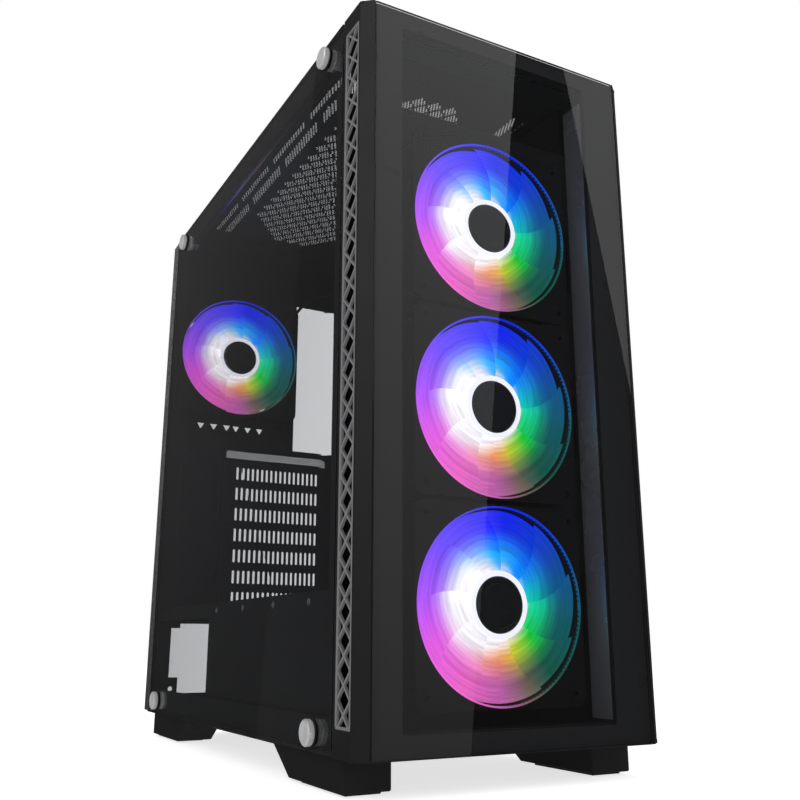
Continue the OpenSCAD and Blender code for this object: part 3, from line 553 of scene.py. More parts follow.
def woven_threads():
    """Tree that lays straight threads over each other in a flat rectangle."""
    tree = bpy.data.node_groups.get("Woven threads")
    if tree:
        return tree
    tree = bpy.data.node_groups.new("Woven threads", "GeometryNodeTree")
    tree.interface.new_socket(name="Geometry", in_out="INPUT", socket_type="NodeSocketGeometry")
    for label in ("Width", "Length", "Pitch", "Thread"):
        tree.interface.new_socket(name=label, in_out="INPUT", socket_type="NodeSocketFloat")
    tree.interface.new_socket(name="Finish", in_out="INPUT", socket_type="NodeSocketMaterial")
    tree.interface.new_socket(name="Geometry", in_out="OUTPUT", socket_type="NodeSocketGeometry")
    put, link = tree.nodes.new, tree.links.new
    start, end = put("NodeGroupInput"), put("NodeGroupOutput")
    both, real = put("GeometryNodeJoinGeometry"), put("GeometryNodeRealizeInstances")
    coat = put("GeometryNodeSetMaterial")
    for across, along, axis in (("Width", "Length", 0), ("Length", "Width", 1)):
        count = put("ShaderNodeMath")
        count.operation = "DIVIDE"
        link(start.outputs[across], count.inputs[0])
        link(start.outputs["Pitch"], count.inputs[1])
        half = put("ShaderNodeMath")
        half.operation = "MULTIPLY"
        half.inputs[1].default_value = -0.5
        link(start.outputs[across], half.inputs[0])
        lift = put("ShaderNodeMath")
        lift.operation = "MULTIPLY"
        lift.inputs[1].default_value = 0.3 if axis else -0.3
        link(start.outputs["Thread"], lift.inputs[0])
        origin, step = put("ShaderNodeCombineXYZ"), put("ShaderNodeCombineXYZ")
        link(half.outputs[0], origin.inputs[axis])
        link(lift.outputs[0], origin.inputs[2])
        link(start.outputs["Pitch"], step.inputs[axis])
        row = put("GeometryNodeMeshLine")
        link(count.outputs[0], row.inputs["Count"])
        link(origin.outputs[0], row.inputs["Start Location"])
        link(step.outputs[0], row.inputs["Offset"])
        size = put("ShaderNodeCombineXYZ")
        link(start.outputs["Thread"], size.inputs[axis])
        link(start.outputs[along], size.inputs[1 - axis])
        link(start.outputs["Thread"], size.inputs[2])
        strand, copies = put("GeometryNodeMeshCube"), put("GeometryNodeInstanceOnPoints")
        link(size.outputs[0], strand.inputs["Size"])
        link(row.outputs[0], copies.inputs["Points"])
        link(strand.outputs[0], copies.inputs["Instance"])
        link(copies.outputs[0], both.inputs[0])
    link(both.outputs[0], real.inputs["Geometry"])
    link(real.outputs[0], coat.inputs["Geometry"])
    link(start.outputs["Finish"], coat.inputs["Material"])
    link(coat.outputs[0], end.inputs["Geometry"])
    return tree


def woven(name, low, high, height, material):
    """A flat woven mesh over a rectangle at a height."""
    made = loose(name, mesh_of(name, [(0, 0, 0)], []))
    tree = woven_threads()
    step = made.modifiers.new("Weave", "NODES")
    step.node_group = tree
    step[input_socket(tree, "Width")] = high.x - low.x
    step[input_socket(tree, "Length")] = high.y - low.y
    step[input_socket(tree, "Pitch")] = sizes().thread_pitch
    step[input_socket(tree, "Thread")] = sizes().thread
    step[input_socket(tree, "Finish")] = material
    mesh = settled(made)
    for vertex in mesh.vertices:
        vertex.co += Vector(((low.x + high.x) / 2, (low.y + high.y) / 2, height))
    return mesh


# ---------------------------------------------------------------- shared shader groups


def shader_group(name, inputs, outputs):
    """An empty shader group with named sockets, and its two ends."""
    tree = bpy.data.node_groups.new(name, "ShaderNodeTree")
    for label, kind, value in inputs:
        tree.interface.new_socket(name=label, in_out="INPUT", socket_type=kind).default_value = value
    for label, kind in outputs:
        tree.interface.new_socket(name=label, in_out="OUTPUT", socket_type=kind)
    return tree, tree.nodes.new("NodeGroupInput"), tree.nodes.new("NodeGroupOutput")


NUMBER, COLOUR, VECTOR = "NodeSocketFloat", "NodeSocketColor", "NodeSocketVector"


def feed(tree, socket, value):
    """Sets a socket to a number or a colour, or links another socket to it."""
    if isinstance(value, (int, float)):
        socket.default_value = value
    elif isinstance(value, tuple):
        socket.default_value = (*value, 1)
    else:
        tree.links.new(value, socket)


def sum_of(tree, operation, *values):
    """A math node fed by sockets or plain numbers."""
    made = tree.nodes.new("ShaderNodeMath")
    made.operation = operation
    for socket, value in zip(made.inputs, values):
        feed(tree, socket, value)
    return made.outputs[0]


def distance_of(tree, across, up):
    """Distance from the origin of two flat coordinates."""
    squares = [sum_of(tree, "POWER", value, 2.0) for value in (across, up)]
    return sum_of(tree, "POWER", sum_of(tree, "ADD", *squares), 0.5)


def scaled_colour(tree, colour, level):
    """A colour made brighter or darker by a level."""
    scaled = tree.nodes.new("ShaderNodeVectorMath")
    scaled.operation = "SCALE"
    tree.links.new(colour, scaled.inputs[0])
    tree.links.new(level, scaled.inputs["Scale"])
    return scaled.outputs[0]


def soft_step(tree, value, *ends):
    """A smooth step of a value between two places, to two levels."""
    step = tree.nodes.new("ShaderNodeMapRange")
    step.interpolation_type = "SMOOTHSTEP"
    for socket, end in zip(step.inputs[1:5], ends):
        socket.default_value = end
    tree.links.new(value, step.inputs[0])
    return step.outputs[0]


def noise_of(tree, scale, detail=2.0, stretch=(1, 1, 1)):
    """Noise on the piece's own coordinates."""
    place, turn = tree.nodes.new("ShaderNodeTexCoord"), tree.nodes.new("ShaderNodeMapping")
    turn.inputs["Scale"].default_value = stretch
    noise = tree.nodes.new("ShaderNodeTexNoise")
    noise.inputs["Detail"].default_value = detail
    tree.links.new(place.outputs["Object"], turn.inputs["Vector"])
    tree.links.new(turn.outputs["Vector"], noise.inputs["Vector"])
    feed(tree, noise.inputs["Scale"], scale)
    return noise.outputs[0]


def blended(tree, share, first, second):
    """A colour between two."""
    mix = tree.nodes.new("ShaderNodeMix")
    mix.data_type = "RGBA"
    for socket, value in ((mix.inputs[0], share), (mix.inputs[6], first), (mix.inputs[7], second)):
        feed(tree, socket, value)
    return mix.outputs[2]


def once(name):
    """The node group of that name, if it is already built."""
    return bpy.data.node_groups.get(name)


def fine_grain():
    """Height of the fine grain of powder coat, moulded plastic and rubber."""
    if once("Fine grain"):
        return once("Fine grain")
    tree, start, end = shader_group(
        "Fine grain", [("Scale", NUMBER, 900.0), ("Streaks", NUMBER, 0.0)], [("Height", NUMBER)])
    grain = noise_of(tree, start.outputs["Scale"])
    streak = noise_of(tree, start.outputs["Scale"], stretch=(0.02, 0.6, 0.6))
    streaks = sum_of(tree, "MULTIPLY", streak, start.outputs["Streaks"])
    tree.links.new(sum_of(tree, "ADD", grain, streaks), end.inputs["Height"])
    return tree


def uneven_colour():
    """Colour that wanders a little over the surface, in large soft patches and small ones."""
    if once("Uneven colour"):
        return once("Uneven colour")
    tree, start, end = shader_group(
        "Uneven colour", [("Colour", COLOUR, (0.5, 0.5, 0.5, 1)), ("Amount", NUMBER, 0.2),
                          ("Scale", NUMBER, 12.0)], [("Colour", COLOUR)])
    broad = noise_of(tree, start.outputs["Scale"], 3)
    small = noise_of(tree, sum_of(tree, "MULTIPLY", start.outputs["Scale"], 23.0), 3)
    both = sum_of(tree, "SUBTRACT", sum_of(tree, "ADD", broad, small), 1.0)
    level = sum_of(tree, "MULTIPLY_ADD", both, start.outputs["Amount"], 1.0)
    tree.links.new(scaled_colour(tree, start.outputs["Colour"], level), end.inputs["Colour"])
    return tree


def settled_dust():
    """Thin dust on faces that look up."""
    if once("Settled dust"):
        return once("Settled dust")
    tree, start, end = shader_group(
        "Settled dust", [("Colour", COLOUR, (0.5, 0.5, 0.5, 1)), ("Dust", COLOUR, (0.3, 0.29, 0.28, 1)),
                         ("Amount", NUMBER, 0.1), ("Roughness", NUMBER, 0.5)],
        [("Colour", COLOUR), ("Roughness", NUMBER)])
    face, parts = tree.nodes.new("ShaderNodeNewGeometry"), tree.nodes.new("ShaderNodeSeparateXYZ")
    tree.links.new(face.outputs["Normal"], parts.inputs[0])
    upward = sum_of(tree, "MAXIMUM", parts.outputs[2], 0.0)
    speckle = sum_of(tree, "MULTIPLY", noise_of(tree, 260.0, 4), noise_of(tree, 18.0, 2))
    share = sum_of(tree, "MULTIPLY", sum_of(tree, "MULTIPLY", upward, speckle), start.outputs["Amount"])
    share = sum_of(tree, "MULTIPLY", share, 3.0)
    tree.links.new(blended(tree, share, start.outputs["Colour"], start.outputs["Dust"]), end.inputs["Colour"])
    smudge = sum_of(tree, "MULTIPLY_ADD", noise_of(tree, 31.0, 3), 0.16, -0.08)
    rough = sum_of(tree, "ADD", sum_of(tree, "ADD", start.outputs["Roughness"], smudge), share)
    tree.links.new(rough, end.inputs["Roughness"])
    return tree


def colour_wheel(tree, turn, stops):
    """Colours round the hub, from the bottom and clockwise as the fan's front is seen."""
    ramp = tree.nodes.new("ShaderNodeValToRGB")
    points = ramp.color_ramp.elements
    for place, colour in stops[1:-1]:
        points.new(place).color = (*colour, 1)
    points[0].color, points[-1].color = (*stops[0][1], 1), (*stops[-1][1], 1)
    tree.links.new(turn, ramp.inputs[0])
    return ramp.outputs[0]


def hub_light_wheel():
    """Light that the hub's coloured lamps throw over the rotor."""
    if once("Hub light wheel"):
        return once("Hub light wheel")
    tree, start, end = shader_group("Hub light wheel", [("Disc", VECTOR, (0, 0, 0))], [("Colour", COLOUR)])
    parts = tree.nodes.new("ShaderNodeSeparateXYZ")
    tree.links.new(start.outputs["Disc"], parts.inputs[0])
    across, up = parts.outputs[0], parts.outputs[1]
    turn = sum_of(tree, "ARCTAN2", across, up)
    turn = sum_of(tree, "MULTIPLY_ADD", turn, 0.5 / math.pi, 0.5)
    radius = distance_of(tree, across, up)
    warm = (1, 0.45, 0.12)
    inner = colour_wheel(tree, turn, [
        (0, warm), (0.12, (1, 0.75, 0.9)), (0.25, (1, 1, 1)), (0.38, (0.6, 0.8, 1)),
        (0.5, (0.05, 0.6, 1)), (0.62, (0, 0.35, 1)), (0.75, (0, 0.75, 0.45)), (0.86, (0.02, 0.7, 0.08)),
        (0.94, (0.75, 0.7, 0.05)), (1, warm)])
    rose = (0.62, 0.2, 0.5)
    outer = colour_wheel(tree, turn, [
        (0, rose), (0.08, (0.9, 0.22, 0.65)), (0.18, (0.85, 0.18, 0.85)), (0.27, (0.5, 0.15, 1)),
        (0.38, (0.22, 0.13, 1)), (0.47, (0.1, 0.08, 1)), (0.52, (0, 0.04, 0.9)), (0.62, (0, 0.1, 0.65)),
        (0.70, (0, 0.16, 0.35)), (0.78, (0, 0.17, 0.2)), (0.88, (0.01, 0.17, 0.12)),
        (0.94, (0.25, 0.2, 0.16)), (1, rose)])
    wheel = blended(tree, soft_step(tree, radius, 0.45, 0.85, 0, 1), inner, outer)
    apart = distance_of(tree, sum_of(tree, "ADD", across, 0.14), sum_of(tree, "ADD", up, 0.02))
    lit = blended(tree, soft_step(tree, apart, 0.58, 0.36, 0, 1), wheel, (1.0, 0.97, 1.0))
    rings, grain = tree.nodes.new("ShaderNodeCombineXYZ"), tree.nodes.new("ShaderNodeTexNoise")
    tree.links.new(sum_of(tree, "MULTIPLY", radius, 26.0), rings.inputs[0])
    tree.links.new(sum_of(tree, "MULTIPLY", turn, 5.0), rings.inputs[1])
    grain.inputs["Scale"].default_value = 1.0
    grain.inputs["Detail"].default_value = 3.0
    tree.links.new(rings.outputs[0], grain.inputs["Vector"])
    deep = tree.nodes.new("ShaderNodeGamma")
    deep.inputs["Gamma"].default_value = 1.35
    tree.links.new(lit, deep.inputs["Color"])
    level = sum_of(tree, "MULTIPLY_ADD", grain.outputs[0], 1.1, 0.45)
    tree.links.new(scaled_colour(tree, deep.outputs[0], level), end.inputs["Colour"])
    return tree


# ---------------------------------------------------------------- finishes


def finish(name, colour, roughness, grain=900.0, depth=0.03, streaks=0.0, mottling=0.15, dust=0.1,
           metallic=0.0, coat=0.0, specular=0.5):
    """A solid finish: wandering colour, dust on top, smudged gloss and fine grain."""
    made = bpy.data.materials.get(name)
    if made:
        return made
    made, tree, surface = plain_material(name)
    surface.inputs["Metallic"].default_value = metallic
    surface.inputs["Coat Weight"].default_value = coat
    surface.inputs["Coat Roughness"].default_value = 0.08
    surface.inputs["Specular IOR Level"].default_value = specular
    patches, settled_layer, texture = (tree.nodes.new("ShaderNodeGroup") for _ in range(3))
    patches.node_tree = uneven_colour()
    settled_layer.node_tree = settled_dust()
    texture.node_tree = fine_grain()
    patches.inputs["Colour"].default_value = (*colour, 1)
    patches.inputs["Amount"].default_value = mottling
    settled_layer.inputs["Amount"].default_value = dust
    settled_layer.inputs["Roughness"].default_value = roughness
    texture.inputs["Scale"].default_value = grain
    texture.inputs["Streaks"].default_value = streaks
    bump = tree.nodes.new("ShaderNodeBump")
    bump.inputs["Strength"].default_value = 0.6
    bump.inputs["Distance"].default_value = depth * MM
    tree.links.new(patches.outputs[0], settled_layer.inputs["Colour"])
    tree.links.new(settled_layer.outputs["Colour"], surface.inputs["Base Color"])
    tree.links.new(settled_layer.outputs["Roughness"], surface.inputs["Roughness"])
    tree.links.new(texture.outputs[0], bump.inputs["Height"])
    tree.links.new(bump.outputs[0], surface.inputs["Normal"])
    return made


def coated_steel():
    return finish("Powder-coated steel", finishes().coat, 0.5, 700.0, 0.035, dust=0.06, specular=0.3)


def black_plastic():
    return finish("Moulded black plastic", finishes().plastic, 0.42, 1300.0, 0.02, specular=0.2)


def glossy_plastic():
    return finish("Glossy black plastic", finishes().plastic, 0.16, 300.0, 0.004, coat=0.4)


def vent_plastic():
    return finish("Grey vent plastic", finishes().vent, 0.55, 1100.0, 0.03, mottling=0.2)


def plated_steel():
    return finish("Zinc-plated steel", finishes().zinc, 0.36, 500.0, 0.012, 1.5, 0.25, metallic=0.6)


def nickel():
    return finish("Nickel plate", finishes().nickel, 0.34, 600.0, 0.008, 1.0, 0.12, metallic=0.45)


def standoff_brass():
    return finish("Brass", finishes().brass, 0.3, 600.0, 0.008, 1.0, 0.2, metallic=1.0)


def black_zinc():
    return finish("Black zinc", (0.045, 0.045, 0.048), 0.34, 900.0, 0.01, metallic=0.6)


def rubber():
    return finish("Black rubber", finishes().rubber, 0.72, 1500.0, 0.05, mottling=0.3)


def satin_liner():
    return finish("Satin liner", (0.5, 0.5, 0.52), 0.26, 500.0, 0.006, metallic=0.7, dust=0.0)


def corner_coat():
    return finish("Smooth corner coat", finishes().coat, 0.22, 700.0, 0.004, dust=0.0, coat=0.6)


def foam():
    return finish("Black foam tape", finishes().rubber, 0.9, 1800.0, 0.12, mottling=0.4)


def lead_sheath():
    return finish("Lead sheath", finishes().rubber, 0.38, 400.0, 0.01)


def solder_mask():
    return finish("Solder mask", finishes().solder_mask, 0.3, 350.0, 0.02, mottling=0.35, coat=0.3)


def motor_steel():
    return finish("Motor steel", (0.33, 0.33, 0.34), 0.32, 500.0, 0.01, 1.5, metallic=1.0)


def filter_thread():
    return finish("Filter thread", (0.02, 0.02, 0.021), 0.5, 2500.0, 0.01, mottling=0.3)


def printed_border():
    return finish("Printed border", finishes().border, 0.3, 900.0, 0.002,
                  mottling=0.06, dust=0.0, specular=0.2)


def plain_material(name):
    """A new material with nodes, its tree and its surface shader."""
    made = bpy.data.materials.new(name)
    made.use_nodes = True
    return made, made.node_tree, made.node_tree.nodes["Principled BSDF"]


def tinted_glass():
    """Clear smoke-tinted glass that lets the studio light through."""
    made = bpy.data.materials.get("Tinted glass")
    if made:
        return made
    made, tree, surface = plain_material("Tinted glass")
    end = tree.nodes["Material Output"]
    tint = tree.nodes.new("ShaderNodeGroup")
    tint.node_tree = uneven_colour()
    tint.inputs["Colour"].default_value = (*finishes().glass, 1)
    tint.inputs["Amount"].default_value = 0.012
    tint.inputs["Scale"].default_value = 4.0
    tree.links.new(tint.outputs[0], surface.inputs["Base Color"])
    surface.inputs["Transmission Weight"].default_value = 1.0
    surface.inputs["Roughness"].default_value = 0.0
    surface.inputs["IOR"].default_value = 1.5
    through, path, mix = (tree.nodes.new(kind) for kind in (
        "ShaderNodeBsdfTransparent", "ShaderNodeLightPath", "ShaderNodeMixShader"))
    through.inputs[0].default_value = (*finishes().glass, 1)
    tree.links.new(path.outputs["Is Shadow Ray"], mix.inputs[0])
    tree.links.new(surface.outputs[0], mix.inputs[1])
    tree.links.new(through.outputs[0], mix.inputs[2])
    tree.links.new(mix.outputs[0], end.inputs["Surface"])
    return made


def lit_rotor():
    """Milky rotor plastic lit from the hub in all colours."""
    made = bpy.data.materials.get("Lit rotor")
    if made:
        return made
    made, tree, surface = plain_material("Lit rotor")
    where, wheel = tree.nodes.new("ShaderNodeAttribute"), tree.nodes.new("ShaderNodeGroup")
    where.attribute_name = "disc"
    wheel.node_tree = hub_light_wheel()
    tree.links.new(where.outputs["Vector"], wheel.inputs[0])
    tree.links.new(wheel.outputs[0], surface.inputs["Emission Color"])
    dim = blended(tree, 0.86, wheel.outputs[0], (0.03, 0.03, 0.035))
    tree.links.new(dim, surface.inputs["Base Color"])
    surface.inputs["Emission Strength"].default_value = finishes().glow
    surface.inputs["Roughness"].default_value = 0.24
    return made


def lit_ring():
    """White lit ring round the hub."""
    made = bpy.data.materials.get("Lit hub ring")
    if made:
        return made
    made = finish("Lit hub ring", (0.8, 0.8, 0.82), 0.3, 400.0, 0.004)
    tree = made.node_tree
    surface = tree.nodes["Principled BSDF"]
    patches = tree.nodes.new("ShaderNodeGroup")
    patches.node_tree = uneven_colour()
    patches.inputs["Colour"].default_value = (0.94, 0.95, 1.0, 1)
    patches.inputs["Scale"].default_value = 40.0
    tree.links.new(patches.outputs[0], surface.inputs["Emission Color"])
    surface.inputs["Emission Strength"].default_value = finishes().glow * 0.9
    return made


# ---------------------------------------------------------------- pieces


class TOWER_OT_stage(bpy.types.Operator):
    """Camera, pale floor, soft lamps and the cards that the panes mirror"""

    bl_idname = "tower.stage"
    bl_label = "Stage"

    def execute(self, context):
        stage = context.scene.tower_stage
        context.scene.view_settings.view_transform = "Standard"
        lens = bpy.data.cameras.new("Camera")
        lens.lens = stage.lens
        lens.sensor_width = 36.0
        camera = bpy.data.objects.new("Camera", lens)
        context.scene.collection.objects.link(camera)
        context.scene.camera = camera
        flat = math.cos(stage.pitch)
        east, north = math.sin(stage.heading) * flat, math.cos(stage.heading) * flat
        ahead = Vector((east, north, math.sin(stage.pitch)))
        camera.location = stage.eye
        camera.rotation_mode = "QUATERNION"
        camera.rotation_quaternion = ahead.to_track_quat("-Z", "Y")
        self.sky(context, stage)
        self.floor(stage)
        self.lamp(context, "Key lamp", (-1.5, -1.5, 1.5), stage.lamp_size, 14.0)
        self.lamp(context, "Fill lamp", (1.7, -0.9, 1.1), stage.lamp_size, 7.0)
        self.lamp(context, "Back lamp", (0.5, 1.9, 1.6), stage.lamp_size, 10.0)
        eye = Vector(stage.eye)
        (near, far), (low, high) = BOX["front_glass"], BOX["left_glass"]
        beyond = 30 * MM
        foot, top = near.z - beyond, far.z + beyond
        self.card("Front card", eye, 1, near.y,
                  [(near.x - 20 * MM, foot), (near.x + 58 * MM, foot),
                   (near.x + 112 * MM, top), (near.x - 20 * MM, top)], stage.front_card)
        foot, top = low.z - beyond, high.z + beyond
        self.card("Side card", eye, 0, low.x,
                  [(low.y + 120 * MM, foot), (high.y + 60 * MM, foot),
                   (high.y + 60 * MM, top), (low.y + 40 * MM, top)], stage.side_card)
        self.card("Corner card", eye, 0, low.x,
                  [(high.y + 1 * MM, foot), (high.y + 14 * MM, foot),
                   (high.y + 14 * MM, top), (high.y + 1 * MM, top)], stage.corner_card)
        return {"FINISHED"}

    def sky(self, context, stage):
        """White behind the tower, a soft fill on its surfaces and little in its gloss."""
        world = bpy.data.worlds.new("Studio")
        context.scene.world = world
        world.use_nodes = True
        tree = world.node_tree
        path, light = tree.nodes.new("ShaderNodeLightPath"), tree.nodes["Background"]
        light.inputs["Color"].default_value = (1, 1, 1, 1)
        seen = sum_of(tree, "MAXIMUM", path.outputs["Is Camera Ray"], path.outputs["Is Transmission Ray"])
        bounced = sum_of(tree, "ADD", path.outputs["Diffuse Depth"], path.outputs["Glossy Depth"])
        seen = sum_of(tree, "MULTIPLY", seen, sum_of(tree, "LESS_THAN", bounced, 0.5))
        mirrored = sum_of(tree, "MINIMUM", path.outputs["Glossy Depth"], 1.0)
        hidden = sum_of(tree, "MULTIPLY_ADD", mirrored, stage.mirror - stage.fill, stage.fill)
        level = sum_of(tree, "MULTIPLY_ADD", seen, sum_of(tree, "SUBTRACT", stage.backdrop, hidden), hidden)
        tree.links.new(level, light.inputs["Strength"])

    def floor(self, stage):
        """A plain pale floor that the glass doesn't mirror."""
        size = 6.0
        mesh = mesh_of("Floor", [(-size, -size, 0), (size, -size, 0), (size, size, 0), (-size, size, 0)],
                       [(0, 1, 2, 3)])
        pale = finish("Pale floor", (0.9, 0.9, 0.9), 0.7, 60.0, 0.02, mottling=0.01, dust=0.0)
        surface = pale.node_tree.nodes["Principled BSDF"]
        surface.inputs["Emission Color"].default_value = (1, 1, 1, 1)
        surface.inputs["Emission Strength"].default_value = stage.floor_glow
        mesh.materials.append(pale)
        made = loose("Floor", mesh)
        made.visible_glossy = False
        made.visible_transmission = False

    def lamp(self, context, name, place, size, power):
        """A large soft lamp that looks at the middle of the tower."""
        light = bpy.data.lights.new(name, "AREA")
        light.size = size
        light.energy = power
        lamp = bpy.data.objects.new(name, light)
        context.scene.collection.objects.link(lamp)
        lamp.location = place
        lamp.rotation_euler = (Vector((0, 0, 0.24)) - lamp.location).to_track_quat("-Z", "Y").to_euler()
        lamp.visible_camera = False
        lamp.visible_transmission = False

    def card(self, name, eye, axis, level, marks, power):
        """A glowing card that a pane mirrors inside the marks, seen from the camera."""
        twin = eye.copy()
        twin[axis] = 2 * level - eye[axis]
        corners = []
        for a, b in marks:
            mark = Vector((a, level, b)) if axis == 1 else Vector((level, a, b))
            corners.append(twin + (mark - twin) * 2.6)
        mesh = mesh_of(name, corners, [(0, 1, 2, 3)])
        glow = bpy.data.materials.new(name)
        glow.use_nodes = True
        tree = glow.node_tree
        light = tree.nodes.new("ShaderNodeEmission")
        place, parts = tree.nodes.new("ShaderNodeTexCoord"), tree.nodes.new("ShaderNodeSeparateXYZ")
        fade = tree.nodes.new("ShaderNodeMapRange")
        low, high = min(c.z for c in corners), max(c.z for c in corners)
        for socket, value in zip(fade.inputs[1:5], (low, high, 0.25 * power, power)):
            socket.default_value = value
        tree.links.new(place.outputs["Object"], parts.inputs[0])
        tree.links.new(parts.outputs[2], fade.inputs[0])
        tree.links.new(fade.outputs[0], light.inputs["Strength"])
        tree.links.new(light.outputs[0], tree.nodes["Material Output"].inputs["Surface"])
        mesh.materials.append(glow)
        made = loose(name, mesh)
        for ray in ("camera", "diffuse", "transmission", "shadow", "volume_scatter"):
            setattr(made, "visible_" + ray, False)


class TOWER_OT_glass_panes(bpy.types.Operator):
    """Front pane with its printed border, and the left pane"""

    bl_idname = "tower.glass_panes"
    bl_label = "Glass panes"

    def execute(self, context):
        edge = sizes().glass_edge
        for name, node in (("front_pane", "front_glass"), ("left_pane", "left_glass")):
            refined(name, node, tinted_glass(), edge, 1)
        low, high = BOX["front_glass"]
        inset, window_end = 0.9 * MM, 12.5 * MM
        outline = round_rectangle(low.x + inset, low.z + inset, high.x - inset, high.z - inset, 2 * MM)
        window = round_rectangle(-74.5 * MM, low.z + window_end, 72.5 * MM, high.z - window_end, 1 * MM)
        back = high.y - 0.35 * MM
        mesh = plate("front_pane_border", outline, [window], back - 0.12 * MM, back, lift_y)
        rim_outline, rim_hole = [
            round_rectangle(low.x + step, low.z + step, high.x - step, high.z - step, 2 * MM)
            for step in (0.3 * MM, 0.5 * MM)]
        rim = plate("rim", rim_outline, [rim_hole], low.y + 0.9 * MM, back, lift_y)
        mesh = joined("front_pane_border", [mesh, rim])
        piece("front_pane_border", mesh, "fascia", printed_border())
        low, high = BOX["left_glass"]
        outer, inner = 0.35 * MM, 2.6 * MM
        outline = round_rectangle(low.y + outer, low.z + outer, high.y - outer, high.z - outer, 2 * MM)
        window = round_rectangle(low.y + inner, low.z + inner, high.y - inner, high.z - inner, 1 * MM)
        mesh = plate("left_pane_border", outline, [window], low.x + 1.2 * MM, high.x - 0.4 * MM, lift_x)
        piece("left_pane_border", mesh, "side_glass", printed_border())
        refined("front_pane_tape", "front_glass_tape", foam(), 0)
        refined("left_pane_grommets", "glass_grommets", rubber(), 0.5 * MM)
        return {"FINISHED"}


class TOWER_OT_fascia(bpy.types.Operator):
    """Moulded front frame, its clips and the crossed-bar side vents"""

    bl_idname = "tower.fascia"
    bl_label = "Front frame"

    def execute(self, context):
        refined("front_frame", "front_fascia", black_plastic(), sizes().moulded_edge)
        refined("front_frame_clips", "fascia_clips", black_plastic())
        for side in ("left", "right"):
            self.side_vent(side)
        self.window_liner()
        return {"FINISHED"}

    def side_vent(self, side):
        """A strip of crossed bars: full-width diamonds with a triangle at each side of every crossing."""
        low, high = BOX["vent_lattice_" + side]
        count, bar, rim, corner = sizes().crossings, sizes().vent_bar / 2, 1.7 * MM, 1.0 * MM
        a0, a1, z0, z1 = low.y + rim, high.y - rim, low.z + rim, high.z - rim
        middle_a, end = (a0 + a1) / 2, 7.5 * MM
        step = (high.z - low.z - 2 * end) / (count - 1)
        holes = []
        for k in range(-1, count):
            z = low.z + end + k * step
            shapes = [[(middle_a, z), (a1, z + step / 2), (middle_a, z + step), (a0, z + step / 2)]]
            if k >= 0:
                shapes.append([(a0, z - step / 2), (middle_a, z), (a0, z + step / 2)])
                shapes.append([(a1, z + step / 2), (middle_a, z), (a1, z - step / 2)])
            for shape in shapes:
                shape = clipped(clipped(shape, z0 - bar, 1), z1 + bar, -1)
                holes.append(rounded_polygon(shape, bar, corner))
        outline = round_rectangle(low.y, low.z, high.y, high.z, 1.5 * MM)
        mesh = plate(side + "_side_vent", outline, holes, low.x, high.x, lift_x)
        mesh = softened(mesh, 0.3 * MM)
        piece(side + "_side_vent", mesh, "fascia", vent_plastic(), ["vent_lattice_" + side])

    def window_liner(self):
        """Satin walls at the window's two sides, which pick up the fans' light."""
        top, foot = BOX["front_fascia"][1].z - 22 * MM, BOX["front_fascia"][0].z + 15 * MM
        near, far, thick = BOX["front_glass_tape"][1].y + 1.2 * MM, -196.3 * MM, 0.3 * MM
        left, right = -73.9 * MM, 71.5 * MM
        walls = [block_mesh((left, near, foot), (left + thick, far, top)),
                 block_mesh((right - thick, near, foot), (right, far, top))]
        mesh = softened(joined("window_liner", walls), 0.1 * MM)
        piece("window_liner", mesh, "fascia", satin_liner())


class TOWER_OT_top_sockets(bpy.types.Operator):
    """Socket strip on top: bezel, USB and headphone sockets, their board and the two keys"""

    bl_idname = "tower.top_sockets"
    bl_label = "Top sockets"

    def execute(self, context):
        refined("socket_bezel", "io_bezel", glossy_plastic(), 0.3 * MM)
        refined("usb_shells", "usb_ports", plated_steel(), 0.15 * MM)
        refined("headphone_sockets", "audio_jacks", glossy_plastic(), 0.3 * MM)
        refined("socket_board", "io_board", solder_mask(), 0.15 * MM)
        refined("power_key_cap", "power_button", glossy_plastic(), 0.4 * MM, 3)
        refined("reset_key_cap", "reset_button", glossy_plastic(), 0.3 * MM, 3)
        return {"FINISHED"}


class TOWER_OT_fan_frames(bpy.types.Operator):
    """Square fan frames, with a lip round each duct that glows in the fans' colours as a painted reflection
    of the rotors' light
    """

    bl_idname = "tower.fan_frames"
    bl_label = "Fan frames"

    def execute(self, context):
        for fan in FANS:
            refined(fan + "_housing", fan + "_frame", black_plastic(), 0.5 * MM)
            centre = fan_centre(fan)
            # The lip takes the rotor's glowing light wheel: painted reflection of the fans' light on the
            # frame's duct edge, not a lamp of its own.
            inner, outer, rise = FAN_RADIUS + 1.2 * MM, FAN_RADIUS + 2.3 * MM, 0.5 * MM
            outline = [(inner, -0.2 * MM), (outer - 0.3 * MM, -rise), (outer, -0.1 * MM), (inner, 1.4 * MM)]
            mesh = lathe(fan + "_lit_lip", outline, centre, (0, 1, 0), 128)
            piece(fan + "_lit_lip", with_disc(mesh, centre), "chassis", lit_rotor())
        return {"FINISHED"}


def with_disc(mesh, centre):
    """Writes each point's place on the fan's disc for the light wheel."""
    disc = mesh.attributes.new("disc", "FLOAT_VECTOR", "POINT")
    for vertex, value in zip(mesh.vertices, disc.data):
        away = vertex.co - centre
        value.vector = (away.x / FAN_RADIUS, away.z / FAN_RADIUS, away.y / FAN_RADIUS)
    return mesh


